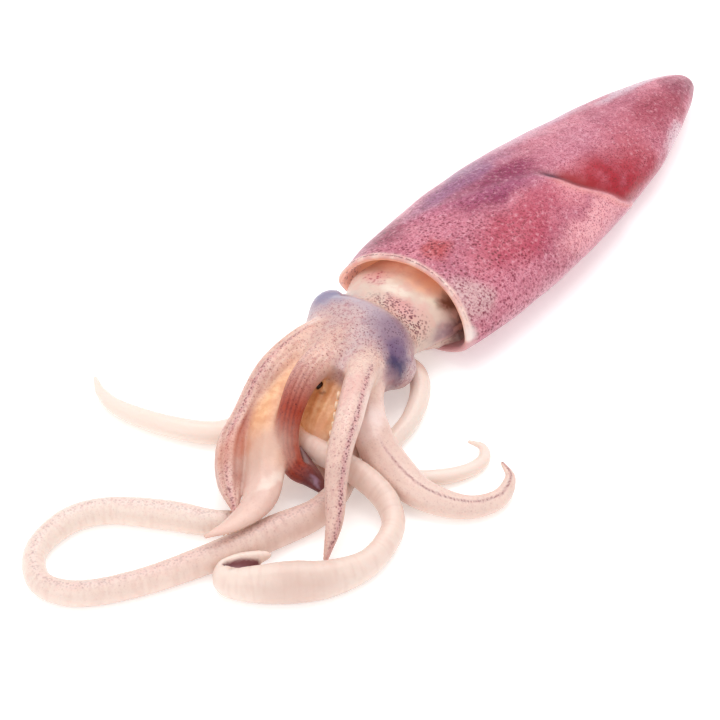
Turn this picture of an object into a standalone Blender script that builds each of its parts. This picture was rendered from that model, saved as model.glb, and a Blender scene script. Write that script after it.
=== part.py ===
"""Whole raw squid lying on its belly: mantle with folded fins, open collar, head and ten limbs.

One closed solid in metres. +X runs from the collar to the tail tip, +Z is up, and z = 0 is
the flat spot that the mantle rests on.
"""

import math

import bpy
from mathutils import Vector

for old in list(bpy.data.objects):
    bpy.data.objects.remove(old, do_unlink=True)

MM = 0.001

# Mantle, in millimetres along X
COLLAR_X = -104.0
TAIL_X = 151.0
WALL = 4.0
MOUTH_DEPTH = 32.0
DORSAL_SETBACK = 9.0
VENTRAL_SETBACK = 9.0
MANTLE_SIDES = 32
# Half width and half height of the tube at fractions of its length
MANTLE_FORM = (
    (0.00, 38.0, 21.5),
    (0.06, 40.8, 21.6),
    (0.15, 42.8, 21.2),
    (0.27, 43.6, 21.2),
    (0.38, 42.4, 20.6),
    (0.50, 39.4, 19.3),
    (0.62, 34.6, 17.2),
    (0.74, 28.0, 14.6),
    (0.86, 19.0, 11.2),
    (0.95, 10.8, 7.8),
    (1.00, 5.2, 4.8),
)
TAIL_LIFT = 5.5
TAIL_SWAY = 1.5
# Front margin of the folded fins: over the back, on the left side and on the right side
FIN_TOP_X = 1.0
FIN_LEFT_X = -38.0
FIN_RIGHT_X = 35.5
CREASE_DEPTH = 2.4
CREASE_BULGE = 1.4

# Neck and head: x, y, z, half width, half height
HEAD_SIDES = 24
HEAD_FORM = (
    (-64, 1, 17.0, 25.0, 11.0),
    (-88, 2, 17.0, 29.5, 12.6),
    (-102, 2.5, 17.5, 29.5, 13.4),
    (-114, 2, 18.0, 25.5, 13.8),
    (-121.5, 1, 19.0, 23.0, 14.8),
    (-125.5, 2, 20.5, 24.8, 17.0),
    (-130, 2, 21.3, 27.0, 18.2),
    (-138, 1, 20.8, 28.5, 18.4),
    (-148, -2, 21.0, 26.5, 17.3),
    (-156, -4, 23.0, 23.0, 14.6),
    (-164, -6, 26.0, 18.5, 11.0),
    (-171, -8, 28.5, 12.0, 7.5),
)

# Limbs: height over width of the section, then the bends as x, y, z, half width.
# Arms are numbered in the usual way, from the pair on the back to the pair on the belly.
LIMBS = {
    "arm_1_left": (0.85, (
        (-149, 0, 29, 9.5), (-166, -2, 33, 8.4), (-186, -5.5, 34, 6.7), (-202, -11, 28, 5.6),
        (-211, -17, 21, 5.3), (-215, -24, 14, 4.9), (-213.5, -31, 11, 4.2), (-215, -40, 9, 1.4))),
    "arm_1_right": (0.85, (
        (-151, -15, 28, 7.8), (-174, -27.2, 36, 6.9), (-194, -38, 36, 6.3), (-208, -44.5, 32, 5.7),
        (-218, -50, 22, 5.0), (-229, -58, 13, 3.9), (-241, -63, 3.5, 1.3))),
    "arm_2_left": (0.85, (
        (-146, 10, 26, 9.5), (-162, 13, 29.5, 8.8), (-186, 14, 29, 7.0), (-208, 9.5, 20.5, 6.6),
        (-224, 3.5, 16.5, 7.6), (-240, -9, 15.5, 6.2), (-251, -21, 14, 1.5))),
    "arm_2_right": (0.8, (
        (-146, -14, 24, 9.0), (-168, -27, 22, 8.0), (-181, -42, 16, 8.8), (-186, -57, 10, 9.0),
        (-188, -75, 7.5, 7.2), (-181, -92.5, 5.6, 5.6), (-168, -100.5, 5, 4.4), (-155, -98, 6, 2.6),
        (-150, -90, 7, 1.0))),
    "arm_3_left": (0.62, (
        (-153, 8, 22, 9.5), (-177, 5.5, 25, 10.0), (-200, 0.5, 22.5, 9.8), (-224, -15, 17, 9.4),
        (-242, -27, 17, 7.6), (-259, -28, 17.5, 4.4), (-273, -24, 18, 1.1))),
    "arm_3_right": (0.8, (
        (-152, -12, 17, 8.0), (-168, -15, 16, 8.4), (-184, -16, 13, 8.0), (-196, -20, 8, 6.0),
        (-202, -28, 4.5, 4.0), (-203, -37, 3, 1.3))),
    "arm_4_left": (0.85, (
        (-152, 5, 14, 6.5), (-172, 11, 11, 6.2), (-194, 14, 8, 6.0), (-212, 22, 5.5, 5.8),
        (-223, 43, 5, 5.2), (-228, 69, 4.2, 4.1), (-225, 84, 3.4, 2.6), (-219, 94, 2.8, 1.0))),
    "arm_4_right": (0.9, (
        (-150, -8, 12, 6.0), (-136, -9, 8, 5.2), (-126, -15, 7, 4.9), (-127, -25, 7, 4.8),
        (-137, -34, 6, 4.8), (-152, -40, 5, 4.6), (-167, -42, 4.4, 4.5), (-178, -45, 4, 4.3),
        (-182, -54, 4, 4.2), (-179, -64, 3.8, 4.1), (-170, -73, 3.5, 3.9), (-160, -79, 3.2, 3.5),
        (-150, -80, 3, 3.0), (-144, -75, 3, 2.0), (-145, -68, 3, 0.9))),
    "tentacle_left": (0.85, (
        (-158, 1, 13, 5.0), (-176, 1, 10, 5.0), (-190, -4, 9.5, 5.2), (-198.5, -13, 11.5, 5.6),
        (-200.5, -27, 14, 6.0), (-200.5, -40, 14.5, 6.3), (-200, -54, 12, 6.6),
        (-203, -67, 8.8, 6.4), (-213, -77, 6.8, 6.0), (-233, -80, 6, 6.6),
        (-251, -73.5, 7, 8.6), (-263.5, -62, 7.5, 9.8), (-274, -50, 7, 8.4), (-279.5, -41, 7, 6.4),
        (-275, -36, 7.5, 5.6), (-267, -39, 8, 5.2), (-259, -44, 8.5, 3.6), (-254, -48, 8.5, 1.3))),
    "tentacle_right": (0.95, (
        (-154, -5, 16, 5.5), (-166, -14, 11, 5.4), (-181, -28, 7.5, 5.4), (-198, -39, 5.4, 6.0),
        (-221, -44.5, 5.6, 6.6), (-245, -37.5, 6.4, 7.6), (-273, -25.5, 5.6, 6.6),
        (-302, -11, 5.2, 6.0), (-322, 5, 5, 5.8), (-327, 22, 4.8, 5.4), (-315, 36, 4.8, 5.4),
        (-295, 37.3, 5.2, 6.0), (-279, 27.5, 5.4, 6.2), (-265, 5, 5.6, 6.8),
        (-256, -12, 5, 5.8), (-240, -23, 3.5, 2.2))),
    "mouth": (0.72, (
        (-150, -4, 18, 14.0), (-163, -8, 16.5, 14.8), (-176, -12, 14, 13.5),
        (-188, -15, 11.5, 10.0), (-196, -17, 9.5, 4.0))),
    "funnel": (0.5, (
        (-78, -8, 9, 21.0), (-88, -8, 8.5, 21.0), (-95, -7, 8, 19.5), (-101, -6.5, 7.6, 16.0),
        (-108, -6, 7.2, 12.0), (-115, -6, 6.8, 9.0), (-121, -6, 6.4, 7.0))),
    "eye_right": (1.0, (
        (-131, -19, 17, 5.0), (-135, -20.5, 17, 8.4), (-141, -21.5, 16.5, 8.8), (-147, -20, 16, 5.0))),
    "eye_left": (1.0, (
        (-126, 20, 22, 5.0), (-130, 21, 22, 8.2), (-136, 21, 22, 8.4), (-142, 19, 22, 5.0))),
}
LIMB_SIDES = 10
RING_STEP = 6.0
LIMB_FLOOR = 0.2
KEEL = 1.14
ORAL_FLAT = 0.85


def smooth(low, high, value):
    """Goes from 0 at low to 1 at high, level at both ends."""
    t = min(1.0, max(0.0, (value - low) / (high - low)))
    return t * t * (3.0 - 2.0 * t)


def spline(rows, count):
    """Points on a Catmull-Rom curve through the rows, count steps from end to end."""
    rows = [Vector(row) for row in rows]
    ends = [rows[0] * 2 - rows[1]] + rows + [rows[-1] * 2 - rows[-2]]
    found = []
    for step in range(count + 1):
        place = step / count * (len(rows) - 1)
        i = min(int(place), len(rows) - 2)
        t = place - i
        a, b, c, d = ends[i:i + 4]
        found.append(0.5 * (2 * b + (c - a) * t + (2 * a - 5 * b + 4 * c - d) * t * t
                            + (3 * b - a - 3 * c + d) * t ** 3))
    return found


def mesh_object(name, rings, helper):
    """Closed skin over rings of points, with a centre point at each end."""
    sides = len(rings[0])
    points = [Vector(p) * MM for ring in rings for p in ring]
    faces = []
    for i in range(len(rings) - 1):
        for j in range(sides):
            k = (j + 1) % sides
            faces.append((i * sides + j, i * sides + k, (i + 1) * sides + k, (i + 1) * sides + j))
    for ring, turn in ((0, -1), (len(rings) - 1, 1)):
        points.append(sum((points[ring * sides + j] for j in range(sides)), Vector()) / sides)
        for j in range(sides):
            k = (j + 1) % sides
            pair = (ring * sides + j, ring * sides + k)[::turn]
            faces.append(pair + (len(points) - 1,))
    mesh = bpy.data.meshes.new(name)
    mesh.from_pydata([tuple(p) for p in points], [], faces)
    mesh.validate()
    obj = bpy.data.objects.new(name, mesh)
    obj.hide_render = helper
    if helper:
        obj.display_type = "WIRE"
    return obj


def mantle_size(x):
    """Half width and half height of the mantle at x."""
    place = min(1.0, max(0.0, (x - COLLAR_X) / (TAIL_X - COLLAR_X)))
    last = len(MANTLE_FORM) - 2
    i = max(k for k in range(last + 1) if MANTLE_FORM[k][0] <= place)
    rows = [MANTLE_FORM[min(max(k, 0), last + 1)] for k in (i - 1, i, i + 1, i + 2)]
    span = rows[2][0] - rows[1][0]
    t = (place - rows[1][0]) / span
    found = []
    for axis in (1, 2):
        before = (rows[2][axis] - rows[0][axis]) / max(rows[2][0] - rows[0][0], 1e-6) * span
        after = (rows[3][axis] - rows[1][axis]) / max(rows[3][0] - rows[1][0], 1e-6) * span
        found.append((2 * t ** 3 - 3 * t * t + 1) * rows[1][axis] + (t ** 3 - 2 * t * t + t) * before
                     + (3 * t * t - 2 * t ** 3) * rows[2][axis] + (t ** 3 - t * t) * after)
    return found


def fin_margin(angle):
    """X of the fins' front margin at an angle round the mantle, from the left side over the back."""
    turn = math.degrees(angle) % 360
    if turn <= 90:
        return FIN_TOP_X + (FIN_LEFT_X - FIN_TOP_X) * ((90 - turn) / 90) ** 1.3
    if turn <= 180:
        return FIN_TOP_X + (FIN_RIGHT_X - FIN_TOP_X) * ((turn - 90) / 90) ** 1.3
    return FIN_RIGHT_X + (FIN_LEFT_X - FIN_RIGHT_X) * smooth(180, 360, turn)


def collar_margin(angle):
    """How far the collar's rim stands back from its two side corners."""
    rise = math.sin(angle)
    return DORSAL_SETBACK * rise ** 2 if rise > 0 else VENTRAL_SETBACK * abs(rise) ** 1.3


def mantle_point(place, angle, inset):
    """A point on the mantle: place runs along it, angle round it, inset goes in through the wall."""
    fade = smooth(COLLAR_X, FIN_TOP_X, place) * (1 - smooth(FIN_TOP_X, TAIL_X, place))
    x = place + (fin_margin(angle) - FIN_TOP_X) * fade
    x += collar_margin(angle) * (1 - smooth(COLLAR_X, COLLAR_X + 50, place))
    half_width, half_height = mantle_size(x)
    turn = math.degrees(angle) % 360
    window = smooth(84, 108, turn) * (1 - smooth(172, 205, turn))
    past = x - fin_margin(angle)
    bulge = CREASE_BULGE * math.exp(min(past, 0) / 14)
    dip = -CREASE_DEPTH * math.exp(-max(past, 0) / 18)
    swell = (bulge + (dip - bulge) * smooth(-2.5, 2.5, past)) * window - inset
    tail = smooth(40, TAIL_X, x)
    y = (half_width + swell) * math.cos(angle) + TAIL_SWAY * tail
    below = 0.9 if math.sin(angle) < 0 else 1.0
    z = 0.86 * half_height + (half_height * below + swell) * math.sin(angle) + TAIL_LIFT * tail
    return (x, y, max(z, 0.0 if inset == 0 else WALL - 1.0))


def mantle_rings():
    angles = [2 * math.pi * j / MANTLE_SIDES for j in range(MANTLE_SIDES)]
    places = [TAIL_X, TAIL_X - 2, TAIL_X - 6]
    places += [TAIL_X - 14 - 9.5 * k for k in range(13)]
    places += [FIN_TOP_X + d for d in (6, 2.5, 0, -2.5, -7)]
    places += [FIN_TOP_X - 15 - 9.0 * k for k in range(10)]
    places += [COLLAR_X + 1.5]
    shrink = {TAIL_X: 3.0, TAIL_X - 2: 1.0}
    rings = [[mantle_point(p, a, shrink.get(p, 0)) for a in angles] for p in places]
    rings.append([mantle_point(COLLAR_X, a, WALL / 2) for a in angles])
    for depth in (1.5, 9.0, 17.0, MOUTH_DEPTH - 6):
        rings.append([mantle_point(COLLAR_X + depth, a, WALL) for a in angles])
    rings.append([mantle_point(COLLAR_X + MOUTH_DEPTH, a, WALL + 6) for a in angles])
    return rings


def head_rings():
    rings = []
    for x, y, z, half_width, half_height in HEAD_FORM:
        ring = []
        for j in range(HEAD_SIDES):
            angle = -2 * math.pi * j / HEAD_SIDES
            ring.append((x, y + half_width * math.cos(angle), z + half_height * math.sin(angle)))
        rings.append(ring)
    return rings


def limb_rings(aspect, bends):
    """Rings square to the limb's line, ridged above and flattened below."""
    length = sum((Vector(b[:3]) - Vector(a[:3])).length for a, b in zip(bends, bends[1:]))
    line = spline(bends, max(8, round(length / RING_STEP)))
    rings = []
    up = Vector((0, 0, 1))
    for i, row in enumerate(line):
        ahead = line[min(i + 1, len(line) - 1)].to_3d() - line[max(i - 1, 0)].to_3d()
        ahead.normalize()
        up = (up - ahead * ahead.dot(up)).normalized()
        side = up.cross(ahead)
        ring = []
        for j in range(LIMB_SIDES):
            angle = math.pi / 2 + 2 * math.pi * j / LIMB_SIDES
            rise = math.sin(angle)
            high = KEEL if rise > 0.9 else ORAL_FLAT if rise < 0 else 1.0
            point = row.to_3d() + side * (row[3] * math.cos(angle)) + up * (row[3] * aspect * high * rise)
            ring.append((point.x, point.y, max(point.z, LIMB_FLOOR)))
        rings.append(ring)
    return rings


flesh = bpy.data.materials.new("flesh")
flesh.use_nodes = True
flesh.node_tree.nodes["Principled BSDF"].inputs["Base Color"].default_value = (0.62, 0.36, 0.37, 1)
flesh.node_tree.nodes["Principled BSDF"].inputs["Roughness"].default_value = 0.3

pieces = bpy.data.collections.new("pieces")
bpy.context.scene.collection.children.link(pieces)
pieces.objects.link(mesh_object("head", head_rings(), True))
for limb_name, (limb_aspect, limb_bends) in LIMBS.items():
    pieces.objects.link(mesh_object(limb_name, limb_rings(limb_aspect, limb_bends), True))

squid = mesh_object("squid", mantle_rings(), False)
squid.data.materials.append(flesh)
bpy.context.scene.collection.objects.link(squid)
joined = squid.modifiers.new("joined", "BOOLEAN")
joined.operation = "UNION"
joined.operand_type = "COLLECTION"
joined.collection = pieces
joined.solver = "EXACT"
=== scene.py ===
"""Looks of a whole raw squid lying on its belly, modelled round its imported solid.

Sizes and places are in millimetres in the frame of the solid, and MM turns them into metres.
+X runs from the collar of the mantle to the tail tip, +Z is up and the table is at z = 0.
"""

import math

import bpy
import numpy as np
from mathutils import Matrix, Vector


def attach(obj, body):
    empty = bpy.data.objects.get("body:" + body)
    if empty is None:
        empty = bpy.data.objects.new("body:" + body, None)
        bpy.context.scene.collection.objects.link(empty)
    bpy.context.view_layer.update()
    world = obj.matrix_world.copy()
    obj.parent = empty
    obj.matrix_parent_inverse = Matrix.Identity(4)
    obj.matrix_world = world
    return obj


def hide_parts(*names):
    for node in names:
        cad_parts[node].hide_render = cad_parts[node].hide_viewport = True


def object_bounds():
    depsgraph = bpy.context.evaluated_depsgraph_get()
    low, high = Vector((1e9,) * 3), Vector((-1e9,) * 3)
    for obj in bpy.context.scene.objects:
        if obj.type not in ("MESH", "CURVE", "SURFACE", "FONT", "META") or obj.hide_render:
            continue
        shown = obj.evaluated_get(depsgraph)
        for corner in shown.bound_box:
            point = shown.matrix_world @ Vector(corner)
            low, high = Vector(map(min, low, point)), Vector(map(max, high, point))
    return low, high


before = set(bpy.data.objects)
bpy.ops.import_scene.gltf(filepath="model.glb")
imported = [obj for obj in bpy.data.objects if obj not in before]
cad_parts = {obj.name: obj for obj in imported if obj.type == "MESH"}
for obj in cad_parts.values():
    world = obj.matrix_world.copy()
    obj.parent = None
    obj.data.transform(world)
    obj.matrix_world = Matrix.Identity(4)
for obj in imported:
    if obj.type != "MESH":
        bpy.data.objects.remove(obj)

MM = 0.001
cad_low, cad_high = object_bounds()
scene = bpy.context.scene


# ---------------------------------------------------------------- table, light and camera
# The squid lies on a plain pale table that glows a little. A wide soft light hangs above it,
# a second one fills from the front, and the room round it is white.

TABLE_SIZE = 4.0
TABLE_DROP = 0.0003
TABLE_GLOW = 0.28
TABLE_GREY = 0.92
ROOM_LIGHT = 0.82
WHITE = (1.0, 1.0, 1.0, 1.0)
VIEW_TARGET = Vector((-147.2, -7.0, 20.0)) * MM
VIEW_AZIMUTH = -51.5
VIEW_ELEVATION = 42.0
VIEW_DISTANCE = 0.96
VIEW_LENS = 104.5
VIEW_NEAREST = 0.01


def set_sockets(node, values):
    """Gives a shader's sockets their plain values, by name."""
    for name, value in values.items():
        node.inputs[name].default_value = value


def outwards(azimuth, elevation):
    """Direction from the squid to something that looks at it, by two angles in degrees."""
    a, e = math.radians(azimuth), math.radians(elevation)
    return Vector((math.sin(a) * math.cos(e), -math.cos(a) * math.cos(e), math.sin(e)))


def soft_light(name, azimuth, elevation, distance, size, power):
    """Square soft light that looks at the middle of the squid."""
    lamp = bpy.data.lights.new(name, "AREA")
    lamp.size = size
    lamp.energy = power
    light = bpy.data.objects.new(name, lamp)
    back = outwards(azimuth, elevation)
    light.location = VIEW_TARGET + back * distance
    light.rotation_euler = back.to_track_quat("Z", "Y").to_euler()
    scene.collection.objects.link(light)


soft_light("overhead_light", azimuth=120, elevation=72, distance=1.5, size=1.3, power=11.5)
soft_light("front_light", azimuth=-85, elevation=38, distance=1.7, size=1.0, power=4.0)

world = bpy.data.worlds.new("white_room")
world.use_nodes = True
set_sockets(world.node_tree.nodes["Background"], {"Color": WHITE, "Strength": ROOM_LIGHT})
scene.world = world
scene.view_settings.view_transform = "Standard"

half = TABLE_SIZE / 2
table_mesh = bpy.data.meshes.new("table")
corners = ((-half, -half), (half, -half), (half, half), (-half, half))
table_mesh.from_pydata([(x, y, -TABLE_DROP) for x, y in corners], [], [(0, 1, 2, 3)])
table = bpy.data.objects.new("table", table_mesh)
scene.collection.objects.link(table)
table_paint = bpy.data.materials.new("table_paint")
table_paint.use_nodes = True
set_sockets(table_paint.node_tree.nodes["Principled BSDF"], {
    "Base Color": (TABLE_GREY, TABLE_GREY, TABLE_GREY, 1.0), "Roughness": 0.85,
    "Emission Color": WHITE, "Emission Strength": TABLE_GLOW})
table_mesh.materials.append(table_paint)

lens = bpy.data.cameras.new("camera")
lens.lens = VIEW_LENS
lens.clip_start = VIEW_NEAREST
camera = bpy.data.objects.new("camera", lens)
camera.location = VIEW_TARGET + outwards(VIEW_AZIMUTH, VIEW_ELEVATION) * VIEW_DISTANCE
camera.rotation_euler = (math.radians(90 - VIEW_ELEVATION), 0.0, math.radians(VIEW_AZIMUTH))
scene.collection.objects.link(camera)
scene.camera = camera


# ---------------------------------------------------------------- mantle
# The mantle is a muscular tube that ends in a point, with a thick soft rim round its open
# front. Its tail fins are folded flat against it, so that only their front margin shows, as
# a step across the back. The skin is thin, wet and full of dark pigment spots.

MANTLE_LENGTH = 255.0
TAIL_X = cad_high.x / MM
COLLAR_X = TAIL_X - MANTLE_LENGTH
WALL = 4.0
RIM_WALL = 3.1
WALL_RUN = 14.0
MOUTH_DEPTH = 46.0
MOUTH_NARROWING = 9.0
DORSAL_SETBACK = 9.0
VENTRAL_SETBACK = 2.0
LEFT_LOBE = 3.2
LOBE_TURN = 4.0
LOBE_WIDTH = 24
# Share of the length behind the collar, half width and half height there
MANTLE_FORM = np.array((
    (0.00, 38.0, 21.5),
    (0.06, 40.8, 21.6),
    (0.15, 42.8, 21.2),
    (0.27, 43.6, 21.2),
    (0.38, 42.4, 20.6),
    (0.50, 39.4, 19.3),
    (0.62, 34.6, 17.2),
    (0.74, 28.0, 14.6),
    (0.86, 19.0, 11.2),
    (0.95, 10.8, 7.8),
    (1.00, 5.2, 4.8),
))
AXIS_HEIGHT = 0.86
BELLY_FLATNESS = 0.9
COLLAR_FADE = 50
SKIN_RIPPLE = 0.16
TAIL_LIFT = 5.5
TAIL_SWAY = 1.5
FIN_TOP_X = 1.0
FIN_LEFT_X = -38.0
FIN_RIGHT_X = 35.5
FIN_WAVE = 0.9
# Spans say where a form begins, is full, gives way and ends: in X, and for the crease in degrees
FREE_EDGE_HEIGHT = 0.9
FREE_EDGE_TURN = 196
FREE_EDGE_SPAN = (40, 70, 132, 146)
RIDGE_Y = -6.0
RIDGE_SLOPE = 0.46
RIDGE_SPAN = (-78, -52, -8, 6)
RIDGE_HEIGHT = 0.9
RIDGE_WIDTH = 5.0
CREASE_SPAN = (84, 108, 172, 205)
CREASE_DEPTH = 2.4
CREASE_DEPTH_RUN = 18
CREASE_BULGE = 1.4
CREASE_BULGE_RUN = 14
CREASE_ROLL = 5.2
CREASE_HOLLOW = 1.3
MANTLE_SIDES = 300
MANTLE_STEP = 1.1
# How far in front of the tail tip each closing ring is, and how far it lies inside the skin
TAIL_CAP = ((0.0, 3.6), (0.5, 2.4), (1.4, 1.2), (2.6, 0.5), (4.0, 0.12))
TAIL_CAP_END = 5.5
LIP_STEPS = 12
LIP_START = 1.2
LIP_SET = 0.6
LIP_BULGE = 1.7
LINING_STEP = 1.6


def smooth(low, high, value):
    """Goes from 0 at low to 1 at high, level at both ends."""
    t = np.clip((value - low) / (high - low), 0.0, 1.0)
    return t * t * (3.0 - 2.0 * t)


def between(value, rise, full, fall, end):
    """0 up to rise, 1 from full to fall and 0 again from end on, level at all four."""
    return smooth(rise, full, value) * (1 - smooth(fall, end, value))


def bell(distance, width):
    """1 where distance is 0, fading to nothing over a few widths."""
    return np.exp(-(distance / width) ** 2)


def form_at(form, column, where):
    """Smooth curve through a table's rows: the values of one column at the given places."""
    x, y = form[:, 0], form[:, column]
    slope = np.gradient(y, x)
    i = np.clip(np.searchsorted(x, where) - 1, 0, len(x) - 2)
    span = x[i + 1] - x[i]
    t = np.clip((where - x[i]) / span, 0.0, 1.0)
    return ((2 * t ** 3 - 3 * t ** 2 + 1) * y[i] + (t ** 3 - 2 * t ** 2 + t) * span * slope[i]
            + (3 * t ** 2 - 2 * t ** 3) * y[i + 1] + (t ** 3 - t ** 2) * span * slope[i + 1])


def fin_margin(turn):
    """X of the folded fins' front margin, by degrees round the mantle from its left side."""
    side_x = np.where(turn <= 90, FIN_LEFT_X, FIN_RIGHT_X)
    over = FIN_TOP_X + (side_x - FIN_TOP_X) * (np.clip(np.abs(turn - 90), 0, 90) / 90) ** 1.3
    under = FIN_RIGHT_X + (FIN_LEFT_X - FIN_RIGHT_X) * smooth(180, 360, turn)
    wave = FIN_WAVE * np.sin(turn / 7.0) * smooth(95, 120, turn)
    return np.where(turn <= 180, over, under) + wave


def ridge_line(x):
    """Y of the low ridge that runs forward over the back from the top of the fins' margin."""
    return RIDGE_Y - RIDGE_SLOPE * x


def ridge_span(x):
    """1 along the stretch of X that the ridge covers, fading at both ends."""
    return between(x, *RIDGE_SPAN)


def collar_setback(angle):
    """How far the rim stands back over the back and belly, with a lobe forward at the left side."""
    rise = np.sin(angle)
    off_lobe = (np.degrees(angle) - LOBE_TURN + 180) % 360 - 180
    back = np.where(rise > 0, DORSAL_SETBACK * rise ** 2, VENTRAL_SETBACK * np.abs(rise) ** 1.3)
    return back - LEFT_LOBE * bell(off_lobe, LOBE_WIDTH)


def mantle_point(place, angle, inset):
    """Points of the mantle: place runs along it, angle round it, inset goes in through the wall."""
    turn = np.degrees(angle) % 360
    margin = fin_margin(turn)
    fade = between(place, COLLAR_X, FIN_TOP_X, FIN_TOP_X, TAIL_X)
    x = place + (margin - FIN_TOP_X) * fade
    rise = np.sin(angle)
    x = x + collar_setback(angle) * (1 - smooth(COLLAR_X, COLLAR_X + COLLAR_FADE, place))
    along = np.clip((x - COLLAR_X) / MANTLE_LENGTH, 0.0, 1.0)
    half_width, half_height = form_at(MANTLE_FORM, 1, along), form_at(MANTLE_FORM, 2, along)
    window = between(turn, *CREASE_SPAN)
    past = x - margin
    bulge = CREASE_BULGE * np.exp(np.minimum(past, 0) / CREASE_BULGE_RUN)
    dip = -CREASE_DEPTH * np.exp(-np.maximum(past, 0) / CREASE_DEPTH_RUN)
    roll = CREASE_ROLL - 1.2 * smooth(96, 140, turn)
    swell = (bulge + (dip - bulge) * smooth(-roll, roll, past)) * window
    swell = swell - CREASE_HOLLOW * bell(past - 3.5, 4.5) * bell(turn - 97, 9)
    over_back = half_width * np.cos(angle)
    ridge = bell(over_back - ridge_line(x), RIDGE_WIDTH) * ridge_span(x) * (rise > 0)
    swell = swell + RIDGE_HEIGHT * ridge
    free_edge = between(x, *FREE_EDGE_SPAN)
    under_edge = turn - FREE_EDGE_TURN - 6 * np.sin(x / 17)
    free_edge = free_edge * smooth(-5, 3, -under_edge) * smooth(-30, 0, under_edge + 26)
    swell = swell + FREE_EDGE_HEIGHT * free_edge
    ripple = SKIN_RIPPLE * np.sin(x / 5.3 + 3 * np.sin(turn / 23)) * np.sin(turn / 9 + x / 31)
    swell = (swell + ripple * np.where(inset > 0, 0.3, 1.0)) - inset
    tail = smooth(40, TAIL_X, x)
    y = (half_width + swell) * np.cos(angle) + TAIL_SWAY * tail
    below = np.where(rise < 0, BELLY_FLATNESS, 1.0)
    z = AXIS_HEIGHT * half_height + (half_height * below + swell) * rise + TAIL_LIFT * tail
    floor = np.where(inset > 0, np.minimum(inset, WALL - 1.0), 0.0)
    return np.stack([x, y, np.maximum(z, floor)], -1)


def smooth_mesh(name, points, faces):
    """A smoothly shaded mesh from points in millimetres."""
    mesh = bpy.data.meshes.new(name)
    mesh.from_pydata((points * MM).tolist(), [], faces)
    mesh.shade_smooth()
    return mesh


def tube_mesh(name, rings):
    """Closed quad skin over rings of points in millimetres, with a centre point at each end."""
    count, sides = rings.shape[:2]
    points = np.concatenate([rings.reshape(-1, 3), rings[0].mean(0)[None], rings[-1].mean(0)[None]])
    i, j = np.meshgrid(np.arange(count - 1), np.arange(sides), indexing="ij")
    k = (j + 1) % sides
    quads = np.stack([i * sides + j, i * sides + k, (i + 1) * sides + k, (i + 1) * sides + j], -1)
    turn, after = np.arange(sides), (np.arange(sides) + 1) % sides
    first = np.stack([after, turn, np.full(sides, count * sides)], -1)
    last = np.stack([turn, after, np.full(sides, count * sides + 1)], -1)
    last[:, :2] += (count - 1) * sides
    return smooth_mesh(name, points, quads.reshape(-1, 4).tolist() + first.tolist() + last.tolist())


def paint(mesh, name, values):
    """Stores one number for each point of a mesh, for its material to read."""
    attribute = mesh.attributes.new(name, "FLOAT", "POINT")
    attribute.data.foreach_set("value", np.ascontiguousarray(values, np.float32))


def finished(mesh, material):
    """A finished piece of the squid: it rides on the one body and gets its material when one is given;
    the imported solid is hidden.
    """
    piece = bpy.data.objects.new(mesh.name, mesh)
    scene.collection.objects.link(piece)
    if material is not None:
        mesh.materials.clear()
        mesh.materials.append(material)
    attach(piece, "root")
    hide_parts("squid")


class Level:
    """A number that varies over a surface. Python's operators on it add Math nodes."""

    def __init__(self, tree, socket):
        self.tree = tree
        self.socket = socket

    def math(self, operation, *values):
        node = self.tree.nodes.new("ShaderNodeMath")
        node.operation = operation
        for slot, value in zip(node.inputs, values):
            plug(self.tree, slot, value)
        return Level(self.tree, node.outputs[0])

    def __add__(self, other):
        return self.math("ADD", self, other)

    def __mul__(self, other):
        return self.math("MULTIPLY", self, other)

    def __sub__(self, other):
        return self.math("SUBTRACT", self, other)

    def __rsub__(self, other):
        return self.math("SUBTRACT", other, self)

    __radd__ = __add__
    __rmul__ = __mul__

    def step(self, low, high):
        """0 below low and 1 above high, smooth between; low may be the larger."""
        node = self.tree.nodes.new("ShaderNodeMapRange")
        node.interpolation_type = "SMOOTHSTEP"
        for slot, value in zip(node.inputs, (self, low, high, 0.0, 1.0)):
            plug(self.tree, slot, value)
        return Level(self.tree, node.outputs[0])


def plug(tree, slot, value):
    """Gives a socket its link or its plain value."""
    if isinstance(value, Level):
        tree.links.new(value.socket, slot)
    elif slot.type == "RGBA" and len(value) == 3:
        slot.default_value = (*value, 1.0)
    else:
        slot.default_value = value


def rgb(red, green, blue):
    """A colour as it is seen, 0 to 255, turned into the linear values that a shader takes."""
    return tuple(
        ((v / 255 + 0.055) / 1.055) ** 2.4 if v > 10 else v / 3294.6 for v in (red, green, blue))


class Nodes:
    """A node tree under construction."""

    def __init__(self, tree):
        self.tree = tree

    def node(self, kind, settings=None, sockets=None, output=0):
        """Any node: its type, its settings, and the values or links of its sockets."""
        node = self.tree.nodes.new(kind)
        for name, value in (settings or {}).items():
            setattr(node, name, value)
        for name, value in (sockets or {}).items():
            plug(self.tree, node.inputs[name], value)
        return Level(self.tree, node.outputs[output])

    def vector(self, operation, *values, output=0):
        node = self.tree.nodes.new("ShaderNodeVectorMath")
        node.operation = operation
        for slot, value in zip(node.inputs, values):
            plug(self.tree, slot, value)
        return Level(self.tree, node.outputs[output])


# Multiply blend, for pigment stains and for painted shade in creases, furrows and wrinkles
STAIN_AND_SHADE = "MULTIPLY"
BLACK = (0.0, 0.0, 0.0)


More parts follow.
